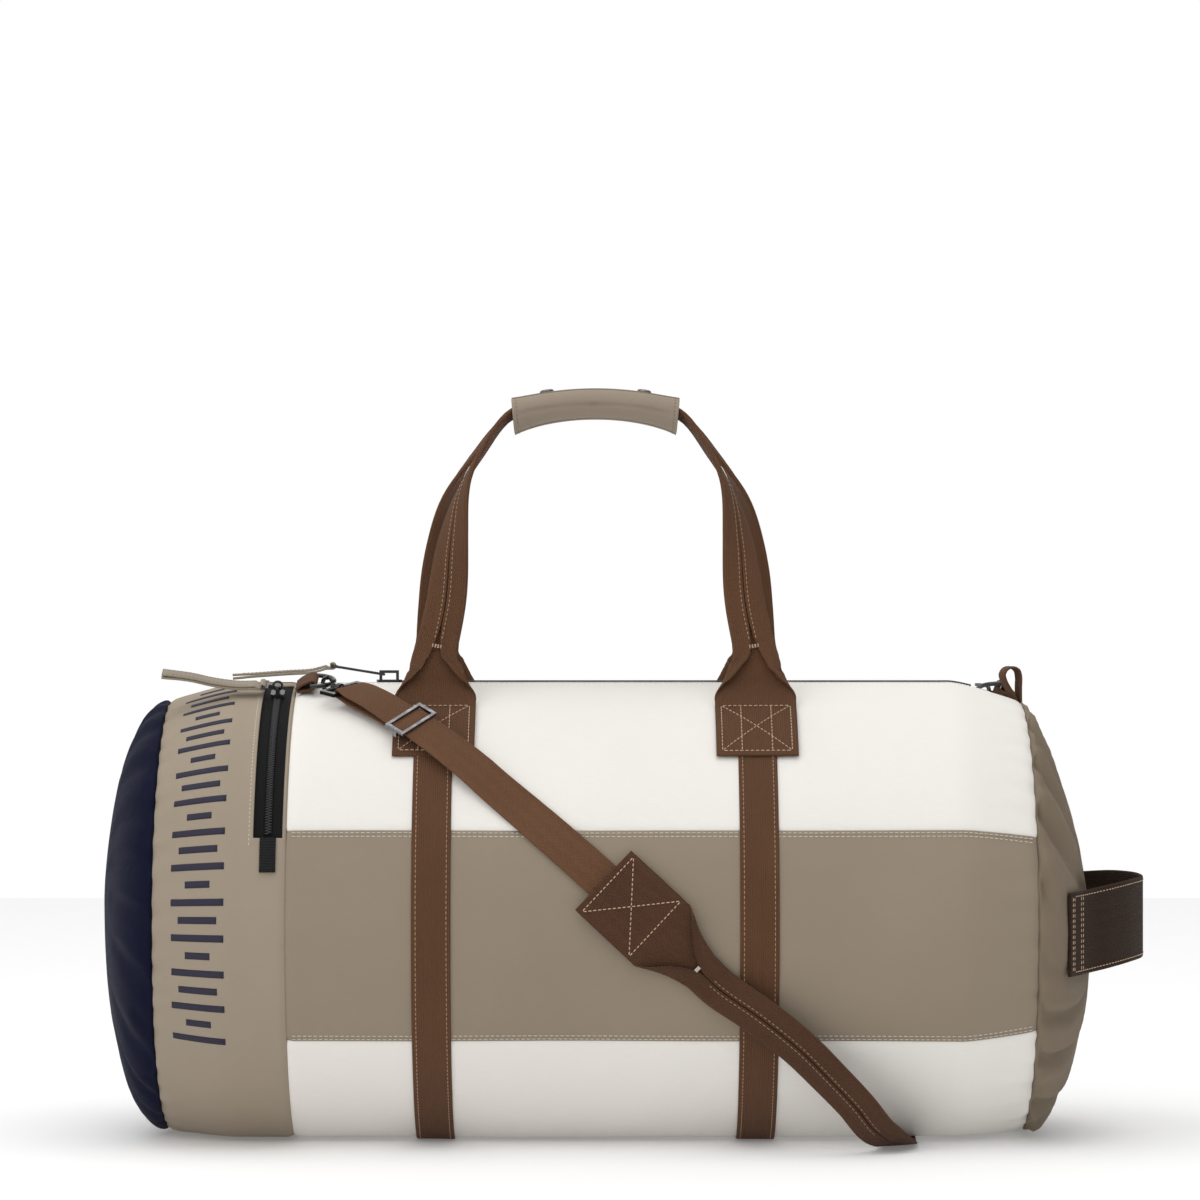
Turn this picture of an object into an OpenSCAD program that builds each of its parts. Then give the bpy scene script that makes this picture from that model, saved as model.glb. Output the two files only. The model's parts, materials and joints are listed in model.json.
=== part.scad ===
// Barrel duffel bag with two webbing handles, a zipped end pocket and a clip-on shoulder strap.
// +X runs along the bag, -Y is its front, +Z is up. The origin is on the ground under its middle.
// Angles named "rise" are measured round the bag's axis: 0 is the front, 90 the top, 180 the back.

/* [Body] */
// Length over both bulged ends
bag_length = 650; // [630:1:670]
// Distance between the seams of the two end panels
seam_span = 566; // [560:1:572]
// Diameter of the barrel
bag_d = 309; // [306:1:312]
// Diameter of the end panels at their seams
rim_d = 284; // [278:1:288]
// Thickness of the outer fabric
fabric_t = 2; // [1.6:0.1:2.4]
// Width of the cuff that holds the end pocket
cuff_w = 86; // [84:1:88]
// Rise of the contrast band's upper edge
band_top = 24; // [20:1:28]
// Rise of the contrast band's lower edge
band_bottom = -28; // [-32:1:-24]

/* [Zips] */
// Length of the main zip
main_zip_len = 407; // [380:1:420]
// Width of the slot that the zip tapes fill
zip_slot_w = 16; // [14:1:18]
// Width of the pocket's zip tape
pocket_zip_w = 19; // [17:1:20]
// Rise of the lower end of the pocket's zip
pocket_zip_low = 22; // [20:1:26]
// Rise of the upper end of the pocket's zip
pocket_zip_high = 82; // [80:1:84]
// Length of the fabric pullers
puller_len = 66; // [50:1:70]

/* [Webbing] */
// Width of the narrow webbing
web_w = 25; // [22:1:26]
// Thickness of one layer of webbing
web_t = 1.6; // [1.4:0.1:1.8]
// Width of the wide webbing of the handles and of the strap's square patch
wide_web_w = 50; // [46:1:54]
// Distance of the girth straps from the middle of the bag
girth_x = 104.5; // [100:0.5:108]

/* [Handles] */
// Height of a handle above its hinge line, along its own plane
handle_h = 204; // [190:1:215]
// Width of the square handle ends
handle_end_w = 54; // [50:1:56]
// Length of the wrapped grip
grip_len = 110; // [100:1:112]
// Width of the webbing of the end handle
end_handle_w = 54; // [48:1:58]

/* [Hidden] */
$fn = 96;

// Colours
cream = [0.95, 0.93, 0.90];
khaki = [0.62, 0.57, 0.50];
navy = [0.11, 0.13, 0.25];
brown = [0.42, 0.28, 0.19];
dark_brown = [0.25, 0.16, 0.10];
black = [0.13, 0.13, 0.14];
gunmetal = [0.35, 0.35, 0.36];

// Body shape
bag_r = bag_d / 2;
rim_r = rim_d / 2;
rim_x = seam_span / 2;
bulge = bag_length / 2 - rim_x;
axis_z = 144.5;
shoulder_x = 220;
cuff_x = cuff_w - rim_x;
lining_gap = 0.2;
lining_t = 0.8;
gap = 0.3;

// Main zip
zip_x0 = -150;
zip_x1 = zip_x0 + main_zip_len;
top_z = axis_z + bag_r;
coil_w = 5;
tape_t = 1;
tape_z = top_z - 2;
slider_x = -137.5;
slider_len = 17;
slider_w = 11;
bridge_h = 8;
pull_x = slider_x - 3.4;
pull_z = top_z + 5.4;
pull_tilt = 9.3;
pull_len = 35;

// Pocket zip
pocket_zip_x = cuff_x - 2 - pocket_zip_w / 2;
pocket_slider_rise = 72;
pocket_pull_h = 6.6;
pocket_pull_tilt = 4;
pocket_pull_len = 10;

// Handles: hinge line, lean towards the middle and the arch of one side, [x, height in the plane]
handle_end_low = 44;
handle_end_high = 64.6;
hinge_rise = 66;
hinge_r = bag_r + 1.5 * web_t;
hinge_y = hinge_r * cos(hinge_rise);
hinge_z = axis_z + hinge_r * sin(hinge_rise);
grip_strap_y = 10.2;
lean = asin((hinge_y - grip_strap_y) / handle_h);
arch = [
    [girth_x, 1], [girth_x, 33], [98, 68], [94.5, 106], [88.5, 142], [75.5, 170],
    [56, handle_h - 7.5], [28, handle_h - 1.8]
];
// Half width and half thickness of the folded webbing against its height in the plane
arch_half_w = [
    [0, wide_web_w / 2], [33, 14], [68, 13], [142, web_w / 2], [handle_h - 18, 9.2], [handle_h, 9]
];
arch_half_t = [[0, 1], [33, 2.2], [68, 2], [handle_h - 18, 1.6], [handle_h, 1.5]];
back_spread = 9;

// Grip: a stadium section on a shallow arc
grip_sagitta = 7;
grip_arc_r = (pow(grip_len / 2, 2) + pow(grip_sagitta, 2)) / (2 * grip_sagitta);
grip_z = hinge_z + handle_h * cos(lean);
grip_round_y = 14;
grip_in_r = 7.6;
grip_out_r = 9;
flap_out_r = 10.4;
grip_split_y = 6;
tongue_y = -4;
snap_x = 31;
snap_y = 1;
stud_r = 4;
stud_h = 1;

// Webbing loop at the top of the right end's seam
end_loop_x = 276.6;
end_loop_z = 303.5;
end_loop_w = 13;
end_loop_lean = 14.6;

// Strap hardware: wire sizes and where each chain of ring and hook starts
ring_wire_r = 1.5;
ring_r = 14;
ring_tab_w = web_w - 1.4;
hook_in_r = 3.2;
hook_wire_r = 1.4;
hook_len = 22;
eye_wire = 2.4;
left_ring_x = -186;
left_ring_rise = 76;
left_ring_lift = 6.5;
left_hook_turn = -43;
right_ring_x = 272;
right_ring_rise = 104;
right_ring_lift = 9.5;
right_hook_turn = 130;

// Shoulder strap: it starts at the left hook and runs down across the front at one slant
strap_x0 = -159.7;
strap_rise0 = 67.3;
strap_slant = 43.5;
strap_loop_r = ring_wire_r + gap + web_t / 2;
tri_glide_s = 56;
tri_glide_lift = 7.8;
glide_gap = 0.6;
strap_end_s = 272;
wide_start_s = 227;
// Where the strap passes under the base
under_strap = [[183.5, -62], [209.5, -62], [216.5, 62], [190.5, 62]];

// ---------------------------------------------------------------- functions

function blend(t) = let (c = min(1, max(0, t))) c * c * (3 - 2 * c);

// Barrel radius at a distance along the bag: the shoulders round off towards the end seams
function barrel_r(x) =
    let (t = min(1, max(0, (abs(x) - shoulder_x) / (rim_x - shoulder_x))))
    bag_r - (bag_r - rim_r) * pow(t, 1.5);

// Half outline of the whole body as [radius, x], moved inwards by d
function body_outline(d) =
    let (cap = [for (a = [90 : -10 : 10]) [(rim_r - d) * cos(a), rim_x + (bulge - d) * sin(a)]],
         side = [for (x = [rim_x, 267, 252, 236, shoulder_x]) [barrel_r(x) - d, x]],
         half = concat(cap, side))
    concat(half, [for (i = [len(half) - 1 : -1 : 0]) [half[i][0], -half[i][1]]]);

function on_bag(x, rise, lift = 0) =
    let (r = barrel_r(x) + lift) [x, -r * cos(rise), axis_z + r * sin(rise)];

// A smooth curve through the points p, with n steps between each two
function bend(a, b, c, d, t) =
    0.5 * (2 * b + (c - a) * t + (2 * a - 5 * b + 4 * c - d) * t * t
           + (3 * b - a - 3 * c + d) * t * t * t);
function smooth(p, n) =
    let (m = len(p) - 1)
    concat([for (i = [0 : m - 1], k = [0 : n - 1])
                bend(p[max(i - 1, 0)], p[i], p[i + 1], p[min(i + 2, m)], k / n)],
           [p[m]]);

function unit(v) = v / norm(v);
function along(p, i) = unit(p[min(i + 1, len(p) - 1)] - p[max(i - 1, 0)]);

// Four corners of a webbing section: centre, width direction w, normal n, half width, half thickness.
// w, n and the direction of the run follow the right hand rule.
function section(c, w, n, half_w, half_t) =
    [c + w * half_w + n * half_t, c - w * half_w + n * half_t,
     c - w * half_w - n * half_t, c + w * half_w - n * half_t];

function xyz(v) = [v[0], v[1], v[2]];

// Sections of webbing that lies round the bag, from stations [x, y, z, half_w, half_t]
function lying(stations) =
    let (p = [for (s = stations) xyz(s)])
    [for (i = [0 : len(p) - 1])
        let (t = along(p, i),
             out = [0, p[i][1], p[i][2] - axis_z],
             w = unit(cross(t, out)),
             n = cross(t, w))
        section(p[i], w, n, stations[i][3], stations[i][4])];

// A station of the shoulder strap, s along its slant from the left hook
function strap_station(s, lift, half_w, half_t) =
    let (x = strap_x0 + s * cos(strap_slant),
         rise = strap_rise0 - s * sin(strap_slant) / (bag_r + 6) * 180 / PI)
    concat(on_bag(x, rise, lift), [half_w, half_t]);

// ---------------------------------------------------------------- shared shapes

module ribbon(rings) {
    m = len(rings);
    polyhedron(
        points = [for (r = rings) each r],
        faces = concat(
            [[0, 1, 2, 3]],
            [[4 * m - 1, 4 * m - 2, 4 * m - 3, 4 * m - 4]],
            [for (i = [0 : m - 2], k = [0 : 3])
                let (a = 4 * i + k, b = 4 * i + (k + 1) % 4) each [[a, a + 4, b + 4], [a, b + 4, b]]]),
        convexity = 10);
}

// Turns a [radius, x] outline about the bag's axis, between two rises
module around_bag(from = 0, to = 360)
    translate([0, 0, axis_z]) rotate([0, 90, 0])
        rotate_extrude(angle = to - from, start = 270 - to) children();

// Puts children on the barrel with +Z outwards and +X along the bag, then turns them about +Z
module on_surface(x, rise, lift = 0, turn = 0)
    translate(on_bag(x, rise, lift)) rotate([90 - rise, 0, 0]) rotate([0, 0, turn]) children();

module above(z) translate([-500, -500, z]) cube([1000, 1000, 600]);

// The whole body, moved inwards by d and flat underneath from a height
module body(d = 0, flat = 0)
    intersection() {
        around_bag() polygon(body_outline(d));
        above(flat);
    }

// A closed layer between two offsets of the body
module layer(outer, inner)
    difference() {
        body(outer, outer);
        body(inner, inner);
    }

// The part of a layer between two places along the bag and two rises
module panel(x0, x1, from, to, outer = 0, inner = fabric_t)
    intersection() {
        layer(outer, inner);
        around_bag(from, to) translate([50, x0]) square([150, x1 - x0]);
    }

module main_zip_slot(extra = 0)
    translate([zip_x0, -zip_slot_w / 2 - extra, top_z - 12])
        cube([main_zip_len, zip_slot_w + 2 * extra, 24]);

module pocket_window()
    around_bag(pocket_zip_low, pocket_zip_high)
        translate([bag_r - 12, pocket_zip_x - pocket_zip_w / 2]) square([24, pocket_zip_w]);

// A bar across, with its axis along Y
module cross_bar(r, length) rotate([90, 0, 0]) cylinder(r = r, h = length, center = true, $fn = 32);

// ---------------------------------------------------------------- body panels

module upper_front_panel()
    color(cream) difference() {
        panel(cuff_x, rim_x, band_top, 90);
        main_zip_slot();
    }

module upper_back_panel() mirror([0, 1, 0]) upper_front_panel();

module front_band() color(khaki) panel(cuff_x, rim_x, band_bottom, band_top);

module back_band() mirror([0, 1, 0]) front_band();

// The base lies on the ground, and the webbing that runs under it presses into it
module base_panel()
    color(cream) difference() {
        panel(cuff_x, rim_x, 180 - band_bottom, 360 + band_bottom);
        for (x = [-girth_x, girth_x]) girth_wrap(x);
        translate([0, 0, -1]) linear_extrude(1 + web_t) polygon(under_strap);
    }

module cuff_panel()
    color(khaki) difference() {
        intersection() {
            layer(0, fabric_t);
            translate([-rim_x, -200, -10]) cube([cuff_w, 400, 400]);
        }
        pocket_window();
    }

module end_panel(side)
    intersection() {
        layer(0, fabric_t);
        translate([side > 0 ? rim_x : -rim_x - 100, -200, -10]) cube([100, 400, 400]);
    }

module left_end_panel() color(navy) end_panel(-1);

module right_end_panel() color(khaki) end_panel(1);

module lining()
    color(black) difference() {
        layer(fabric_t + lining_gap, fabric_t + lining_gap + lining_t);
        main_zip_slot(2);
        pocket_window();
    }

// ---------------------------------------------------------------- main zip

module main_zip_tape(side)
    color(black) translate([zip_x0, side > 0 ? coil_w / 2 : -zip_slot_w / 2, tape_z])
        cube([main_zip_len, zip_slot_w / 2 - coil_w / 2, tape_t]);

module main_zip_front_tape() main_zip_tape(-1);

module main_zip_back_tape() main_zip_tape(1);

module main_zip_coil()
    color(black) translate([zip_x0 + 4, -coil_w / 2, tape_z - 0.4]) cube([main_zip_len - 8, coil_w, 2]);

module main_zip_stops()
    color(gunmetal) for (x = [zip_x0, zip_x1 - 4])
        translate([x, -coil_w / 2, tape_z - 0.4]) cube([4, coil_w, 2]);

// Plate with round ends, under and over the coil, and the bridge that holds the pull
module slider_plate(length, width, thick)
    linear_extrude(thick) intersection() {
        square([length, width], center = true);
        circle(d = length, $fn = 48);
    }

module slider_bridge(length, width, height, bar)
    rotate([90, 0, 0]) translate([0, 0, -width / 2]) linear_extrude(width) difference() {
        translate([-length / 2, 0]) square([length, height]);
        translate([-length / 2 + bar, 0]) square([length - 2 * bar, height - bar]);
    }

module main_zip_slider()
    color(gunmetal) translate([slider_x, 0, 0]) {
        translate([0, 0, top_z + 0.2]) {
            slider_plate(slider_len, slider_w, 1.8);
            translate([0, 0, 1.8]) slider_bridge(13, 3, bridge_h - 1.8, 1.9);
        }
        translate([0, 0, tape_z - 2.8]) slider_plate(slider_len, slider_w, 1.8);
    }

module main_zip_pull()
    color(gunmetal) translate([pull_x, 0, pull_z]) rotate([0, pull_tilt, 0]) {
        cross_bar(0.8, 6.4);
        for (side = [-1, 1])
            translate([-12.5, side * 2.55 - 0.65, -0.8]) cube([12.5, 1.3, 1.6]);
        translate([-pull_len + 4, -3.2, -0.8]) cube([pull_len - 16, 6.4, 1.6]);
        translate([-pull_len, 0, 0]) cross_bar(1, 16);
        for (side = [-1, 1])
            translate([-pull_len, side * 7.2 - 0.8, -0.8]) cube([5.5, 1.6, 1.6]);
        translate([-pull_len + 4, -8, -0.8]) cube([1.5, 16, 1.6]);
    }

// A fabric puller, from the loop round its bar at the origin towards -X, on the line of its points
module fabric_puller(line)
    difference() {
        union() {
            ribbon([for (p = smooth(line, 3))
                section([p[0], 0, p[1]], [0, -1, 0], [0, 0, 1], 5.5, 1.3)]);
            cross_bar(2.4, 11);
        }
        cross_bar(1.15, 20);
    }

module main_zip_puller()
    color(khaki) translate([pull_x - pull_len * cos(pull_tilt), 0, pull_z + pull_len * sin(pull_tilt)])
        fabric_puller([[-1.6, 0], [-14, -4], [-30, -5], [-48, -6.5], [-puller_len, -9]]);

// ---------------------------------------------------------------- pocket

module pocket_lining()
    color(black) difference() {
        panel(-rim_x + 12, cuff_x - 1, 12, 86, 3.4, 14);
        panel(-rim_x + 13, cuff_x - 2, 13, 85, 4.4, 13);
        pocket_window();
    }

module pocket_zip_layer(x0, width, outer, inner, from, to)
    around_bag(from, to) translate([bag_r - inner, x0]) square([inner - outer, width]);

module pocket_zip_tape()
    color(black) for (x = [pocket_zip_x - pocket_zip_w / 2, pocket_zip_x + coil_w / 2])
        pocket_zip_layer(x, (pocket_zip_w - coil_w) / 2, 0.6, 1.8, pocket_zip_low, pocket_zip_high);

module pocket_zip_coil()
    color(black)
        pocket_zip_layer(pocket_zip_x - coil_w / 2, coil_w, 0.1, 1.9, pocket_zip_low, pocket_zip_high);

module pocket_zip_slider()
    color(gunmetal) on_surface(pocket_zip_x, pocket_slider_rise, 0.5, 90) {
        slider_plate(12, 9, 1.6);
        translate([0, 0, 1.6]) slider_bridge(9, 2.4, 5.2, 1.4);
    }

module at_pocket_pull()
    on_surface(pocket_zip_x, pocket_slider_rise, pocket_pull_h) rotate([0, pocket_pull_tilt, 0])
        children();

module pocket_zip_pull()
    color(gunmetal) at_pocket_pull() {
        rotate([90, 0, 0]) rotate_extrude($fn = 48) translate([2.9, 0]) circle(r = 0.8, $fn = 16);
        translate([-pocket_pull_len + 2.6, -1, -0.7]) cube([pocket_pull_len - 5.2, 2, 1.4]);
        translate([-pocket_pull_len, 0, 0]) cross_bar(0.9, 15);
        for (side = [-1, 1])
            translate([-pocket_pull_len, side * 6.8 - 0.7, -0.7]) cube([4, 1.4, 1.4]);
        translate([-pocket_pull_len + 2.9, -7.5, -0.7]) cube([1.2, 15, 1.4]);
    }

module pocket_zip_puller()
    color(khaki) at_pocket_pull() translate([-pocket_pull_len, 0, 0])
        fabric_puller([[-1.6, 0], [-16, -1.5], [-32, -0.5], [-48, 2], [-puller_len, 3]]);

module pocket_zip_tab()
    color(black) intersection() {
        layer(-1.6, 0);
        around_bag(pocket_zip_low - 8.5, pocket_zip_low)
            translate([50, pocket_zip_x - 5.2]) square([150, 10.4]);
    }

// ---------------------------------------------------------------- webbing on the bag

module girth_wrap(x)
    intersection() {
        difference() {
            body(-web_t);
            body(0, web_t);
        }
        around_bag(-240, 60) translate([50, x - web_w / 2]) square([150, web_w]);
    }

module girth_strap(x) color(brown) girth_wrap(x);

module left_girth_strap() girth_strap(-girth_x);

module right_girth_strap() girth_strap(girth_x);

module front_handle_end(x)
    color(brown)
        panel(x - handle_end_w / 2, x + handle_end_w / 2, handle_end_low, handle_end_high,
              -2 * web_t, -web_t);

module front_left_handle_end() front_handle_end(-girth_x);

module front_right_handle_end() front_handle_end(girth_x);

module back_left_handle_end() mirror([0, 1, 0]) front_handle_end(-girth_x);

module back_right_handle_end() mirror([0, 1, 0]) front_handle_end(girth_x);

module end_handle() {
    half = [[303.2, -128], [308.2, -118], [314, -105], [322, -92], [336, -76], [350, -55], [360, -28]];
    outline = concat(half, [[363, 0]], [for (i = [len(half) - 1 : -1 : 0]) [half[i][0], -half[i][1]]]);
    line = smooth(outline, 3);
    color(dark_brown) ribbon([for (i = [0 : len(line) - 1])
        let (t = along(line, i), z = 139.5 + 5 * blend((line[i][0] - 310) / 50))
        section([line[i][0], line[i][1], z], [0, 0, 1], [t[1], -t[0], 0], end_handle_w / 2, 1.1)]);
}

// A round of radius r that tapers to half_w at a depth below its middle
module teardrop(r, half_w, depth) {
    circle(r = r, $fn = 48);
    polygon([[-r, 0], [r, 0], [half_w, -depth], [-half_w, -depth]]);
}

module end_loop()
    color(brown) difference() {
        translate([end_loop_x, 0, end_loop_z]) rotate([90, 0, 0])
            linear_extrude(end_loop_w, center = true) rotate(end_loop_lean) difference() {
                teardrop(6.5, 2.2, 22);
                teardrop(4.7, 0.5, 15);
            }
        body();
    }

// ---------------------------------------------------------------- handles and grip

// One handle's sections; spread moves the middle of each leg outwards
function handle_rings(spread) =
    let (side = [for (p = arch) [p[0] + spread * blend(p[1] / 80) * blend((handle_h - p[1]) / 60), p[1]]],
         corners = concat([for (p = side) [-p[0], p[1]]], [[0, handle_h]],
                          [for (i = [len(side) - 1 : -1 : 0]) side[i]]),
         line = smooth(corners, 3),
         up = [0, sin(lean), cos(lean)],
         out = [0, -cos(lean), sin(lean)])
    [for (i = [0 : len(line) - 1])
        let (h = line[i][1],
             t = h < 5 ? [0, line[i][0] < 0 ? 1 : -1] : along(line, i),
             twist = -90 * blend((h - 50) / 135),
             across = [-t[1], 0, 0] + up * t[0],
             w = across * cos(twist) + out * sin(twist),
             n = out * cos(twist) - across * sin(twist))
        section([line[i][0], -hinge_y, hinge_z] + up * h, w, n,
                lookup(h, arch_half_w), lookup(h, arch_half_t))];

module front_handle() color(brown) ribbon(handle_rings(0));

module back_handle() color(brown) mirror([0, 1, 0]) ribbon(handle_rings(back_spread));

// Sweeps a section along the grip's arc; the section's +X is up and its +Y is the front
module along_grip(length = grip_len) {
    half_angle = asin(length / 2 / grip_arc_r);
    translate([0, 0, grip_z - grip_arc_r]) rotate([90, 0, 0])
        rotate_extrude(angle = 2 * half_angle, start = 90 - half_angle, $fn = 360)
            translate([grip_arc_r, 0]) children();
}

module stadium(r) {
    for (side = [-1, 1]) translate([0, side * grip_round_y]) circle(r = r, $fn = 48);
    translate([-r, -grip_round_y]) square([2 * r, 2 * grip_round_y]);
}

module grip_pad()
    color(khaki) difference() {
        along_grip() difference() {
            stadium(grip_out_r);
            stadium(grip_in_r);
            translate([-20, -40 - grip_split_y]) square([40, 40]);
        }
        at_snaps(grip_out_r - stud_h) cylinder(r = stud_r + 0.1, h = 4, $fn = 48);
    }

module grip_flap()
    color(khaki) along_grip() {
        difference() {
            stadium(flap_out_r);
            stadium(grip_in_r);
            translate([-20, -grip_split_y - gap]) square([40, 60]);
        }
        translate([grip_out_r + 0.1, -grip_split_y - 1]) square([flap_out_r - grip_out_r - 0.1,
                                                                grip_split_y + 1 - tongue_y]);
    }

// Both snaps sit square to the grip's arc
module at_snaps(height)
    for (x = [-snap_x, snap_x])
        translate([0, snap_y, grip_z - grip_arc_r]) rotate([0, asin(x / grip_arc_r), 0])
            translate([0, 0, grip_arc_r + height]) children();

module snap_caps()
    color(gunmetal) at_snaps(flap_out_r)
        rotate_extrude($fn = 48) polygon([[0, 0], [4.7, 0], [4.7, 0.7], [3.6, 1.5], [0, 1.8]]);

module snap_studs()
    color(gunmetal) at_snaps(grip_out_r - stud_h) cylinder(r = stud_r, h = stud_h - 0.1, $fn = 48);

// ---------------------------------------------------------------- rings and hooks

// Webbing tab from the seam at dir * reach, wrapped round the ring's bar at the origin
module ring_tab(reach, slope)
    rotate([90, 0, 0]) linear_extrude(ring_tab_w, center = true) difference() {
        union() {
            rotate(slope) translate([-reach, -2]) square([reach, 4]);
            circle(r = 3.2, $fn = 48);
        }
        circle(r = ring_wire_r + 0.2, $fn = 48);
    }

module d_ring() {
    cross_bar(ring_wire_r, 2 * ring_r);
    for (side = [-1, 1]) translate([0, side * ring_r, 0]) sphere(r = ring_wire_r, $fn = 32);
    rotate_extrude(angle = 180, start = -90) translate([ring_r, 0]) circle(r = ring_wire_r, $fn = 32);
}

// The hook's round holds the ring's wire at the origin; its shank turns in the eye towards +X
module hook() {
    rotate([90, 0, 0]) rotate_extrude(angle = 290, start = 90, $fn = 64)
        translate([hook_in_r + hook_wire_r, 0]) circle(r = hook_wire_r, $fn = 24);
    translate([hook_in_r + hook_wire_r, 0, 0]) rotate([0, 90, 0]) cylinder(r = 1.9, h = 4.4, $fn = 32);
    translate([8, 0, 0]) rotate([0, 90, 0]) cylinder(r = 1.2, h = 6.4, $fn = 32);
    translate([13.4, 0, 0]) rotate([0, 90, 0]) cylinder(r = 2.1, h = 1.4, $fn = 32);
}

// The spring gate closes the hook's gap, on a pivot above the shank
hook_gate_pivot = [5.1, 3.3];
hook_gate_tip = [1.6, 5.3];
module hook_gate()
    rotate([90, 0, 0]) {
        translate(concat(hook_gate_pivot, [-1.4])) cylinder(r = 1, h = 2.8, $fn = 32);
        linear_extrude(2, center = true) polygon([
            hook_gate_pivot + [-0.5, -0.9], hook_gate_tip + [-0.6, -0.9],
            hook_gate_tip + [0.1, 0.7], hook_gate_pivot + [0.5, 0.9]]);
    }

module hook_eye()
    difference() {
        union() {
            linear_extrude(eye_wire, center = true) difference() {
                translate([10, -16.8]) square([hook_len + eye_wire / 2 - 10, 33.6]);
                translate([13, -13.8]) square([hook_len - eye_wire / 2 - 13, 27.6]);
            }
            translate([10, 0, 0]) rotate([0, 90, 0]) cylinder(r = 3, h = 3, $fn = 32);
        }
        rotate([0, 90, 0]) cylinder(r = 1.3, h = 13.1, $fn = 32);
    }

module at_left_ring(turn = 0)
    on_surface(left_ring_x, left_ring_rise, left_ring_lift, turn) children();

module at_right_ring(turn = 180)
    on_surface(right_ring_x, right_ring_rise, right_ring_lift, turn) children();

module at_left_hook() at_left_ring(left_hook_turn) translate([ring_r, 0, 0]) children();

module at_right_hook() at_right_ring(right_hook_turn) translate([ring_r, 0, 0]) children();

module left_ring_tab() color(brown) at_left_ring() ring_tab(11, 22);

module left_d_ring() color(black) at_left_ring() d_ring();

module left_hook() color(black) at_left_hook() hook();

module left_hook_gate() color(black) at_left_hook() hook_gate();

module left_hook_eye() color(black) at_left_hook() hook_eye();

module right_ring_tab() color(brown) at_right_ring() ring_tab(15, 43);

module right_d_ring() color(black) at_right_ring() d_ring();

module right_hook() color(black) at_right_hook() hook();

module right_hook_gate() color(black) at_right_hook() hook_gate();

module right_hook_eye() color(black) at_right_hook() hook_eye();

// ---------------------------------------------------------------- shoulder strap

// Webbing turned round the eye's bar, its two layers running length towards +X
module hairpin(length)
    translate([hook_len, web_w / 2, 0]) rotate([90, 0, 0]) linear_extrude(web_w) difference() {
        union() {
            circle(r = strap_loop_r + web_t / 2, $fn = 32);
            translate([0, -strap_loop_r - web_t / 2]) square([length, 2 * strap_loop_r + web_t]);
        }
        circle(r = strap_loop_r - web_t / 2, $fn = 32);
        translate([0, -strap_loop_r + web_t / 2]) square([length + 1, 2 * strap_loop_r - web_t]);
    }

module strap_webbing() {
    half_w = web_w / 2;
    half_t = web_t / 2;
    upper = [[7, 10.5], [25, 10], [42, tri_glide_lift], [tri_glide_s, tri_glide_lift], [72, 7.9],
             [115, 5.6], [135, 2.6], [180, 2.4], [strap_end_s, 2.4]];
    lower = [[7, 5.5], [25, 5.2], [42.5, 5.2]];
    color(brown) {
        at_left_hook() hairpin(9);
        for (route = [upper, lower])
            ribbon(lying([for (p = smooth(route, 4)) strap_station(p[0], p[1], half_w, half_t)]));
    }
}

// Three-bar slide: the two outer bars lie over the webbing and the middle bar under it
module strap_tri_glide() {
    place = strap_station(tri_glide_s, 0, 0, 0);
    over = tri_glide_lift + web_t / 2 + glide_gap;
    under = tri_glide_lift - web_t / 2 - glide_gap - 0.9;
    rise = atan2(place[2] - axis_z, -place[1]);
    color(gunmetal) on_surface(place[0], rise, 0, -strap_slant) {
        translate([0, 0, over]) linear_extrude(1.8) difference() {
            square([16, 31], center = true);
            square([11.6, 26.4], center = true);
        }
        translate([0, 0, under]) cross_bar(0.9, 29);
        for (side = [-1, 1])
            translate([-1.5, side * 14.3 - 1, under - 0.9]) cube([3, 2, over - under + 1]);
    }
}

// From the cross-stitched square over the front, down to the ground, under the bag and up its back
module strap_wide_webbing() {
    half_w = web_w / 2;
    wide = wide_web_w / 2;
    patch = [for (p = [[wide_start_s, wide], [wide_start_s + 25, wide], [wide_start_s + 50, wide - 0.5],
                       [318, 15], [332, 13.5]])
                 strap_station(p[0], 4.6, p[1], p[1] > 20 ? 0.8 : 2)];
    hanging = [[104, -158, 90, 13.5, 1.9], [129, -155.5, 70, 13, 1.9], [150, -150, 49, 13, 1.9],
               [166, -144, 31, 13, 1.9], [177, -138, 16, 13, 1.7], [185, -130, 7.6, 13, 1.3],
               [191, -112, 2.8, 13, 0.9]];
    under = [for (p = [[195, -90], [197, -56], [203, 56]]) [p[0], p[1], 0.75, half_w, 0.7]];
    back = [for (p = [[204.3, 245, 1.4], [205, 236, 2.4], [206, 218, 2.2], [207, 198, 2.2], [208, 178, 2.2],
                      [210, 160, 2.2], [212, 145, 2.8], [216, 133, 5], [223, 124.6, 8], [232.8, 120.8, 9.8],
                      [241.8, 117.1, 9.4]])
                concat(on_bag(p[0], p[1], p[2]), [half_w, web_t / 2])];
    color(brown) {
        ribbon(lying(smooth(concat(patch, hanging, under, back), 3)));
        at_right_hook() hairpin(11);
    }
}

// ---------------------------------------------------------------- one line for each node

upper_front_panel();
front_band();
base_panel();
back_band();
upper_back_panel();
cuff_panel();
left_end_panel();
right_end_panel();
lining();
main_zip_front_tape();
main_zip_back_tape();
main_zip_coil();
main_zip_stops();
main_zip_slider();
main_zip_pull();
main_zip_puller();
pocket_lining();
pocket_zip_tape();
pocket_zip_coil();
pocket_zip_slider();
pocket_zip_pull();
pocket_zip_puller();
pocket_zip_tab();
left_girth_strap();
right_girth_strap();
front_left_handle_end();
front_right_handle_end();
back_left_handle_end();
back_right_handle_end();
front_handle();
back_handle();
grip_pad();
grip_flap();
snap_caps();
snap_studs();
end_handle();
end_loop();
left_ring_tab();
left_d_ring();
left_hook();
left_hook_gate();
left_hook_eye();
right_ring_tab();
right_d_ring();
right_hook();
right_hook_gate();
right_hook_eye();
strap_webbing();
strap_tri_glide();
strap_wide_webbing();
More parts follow.
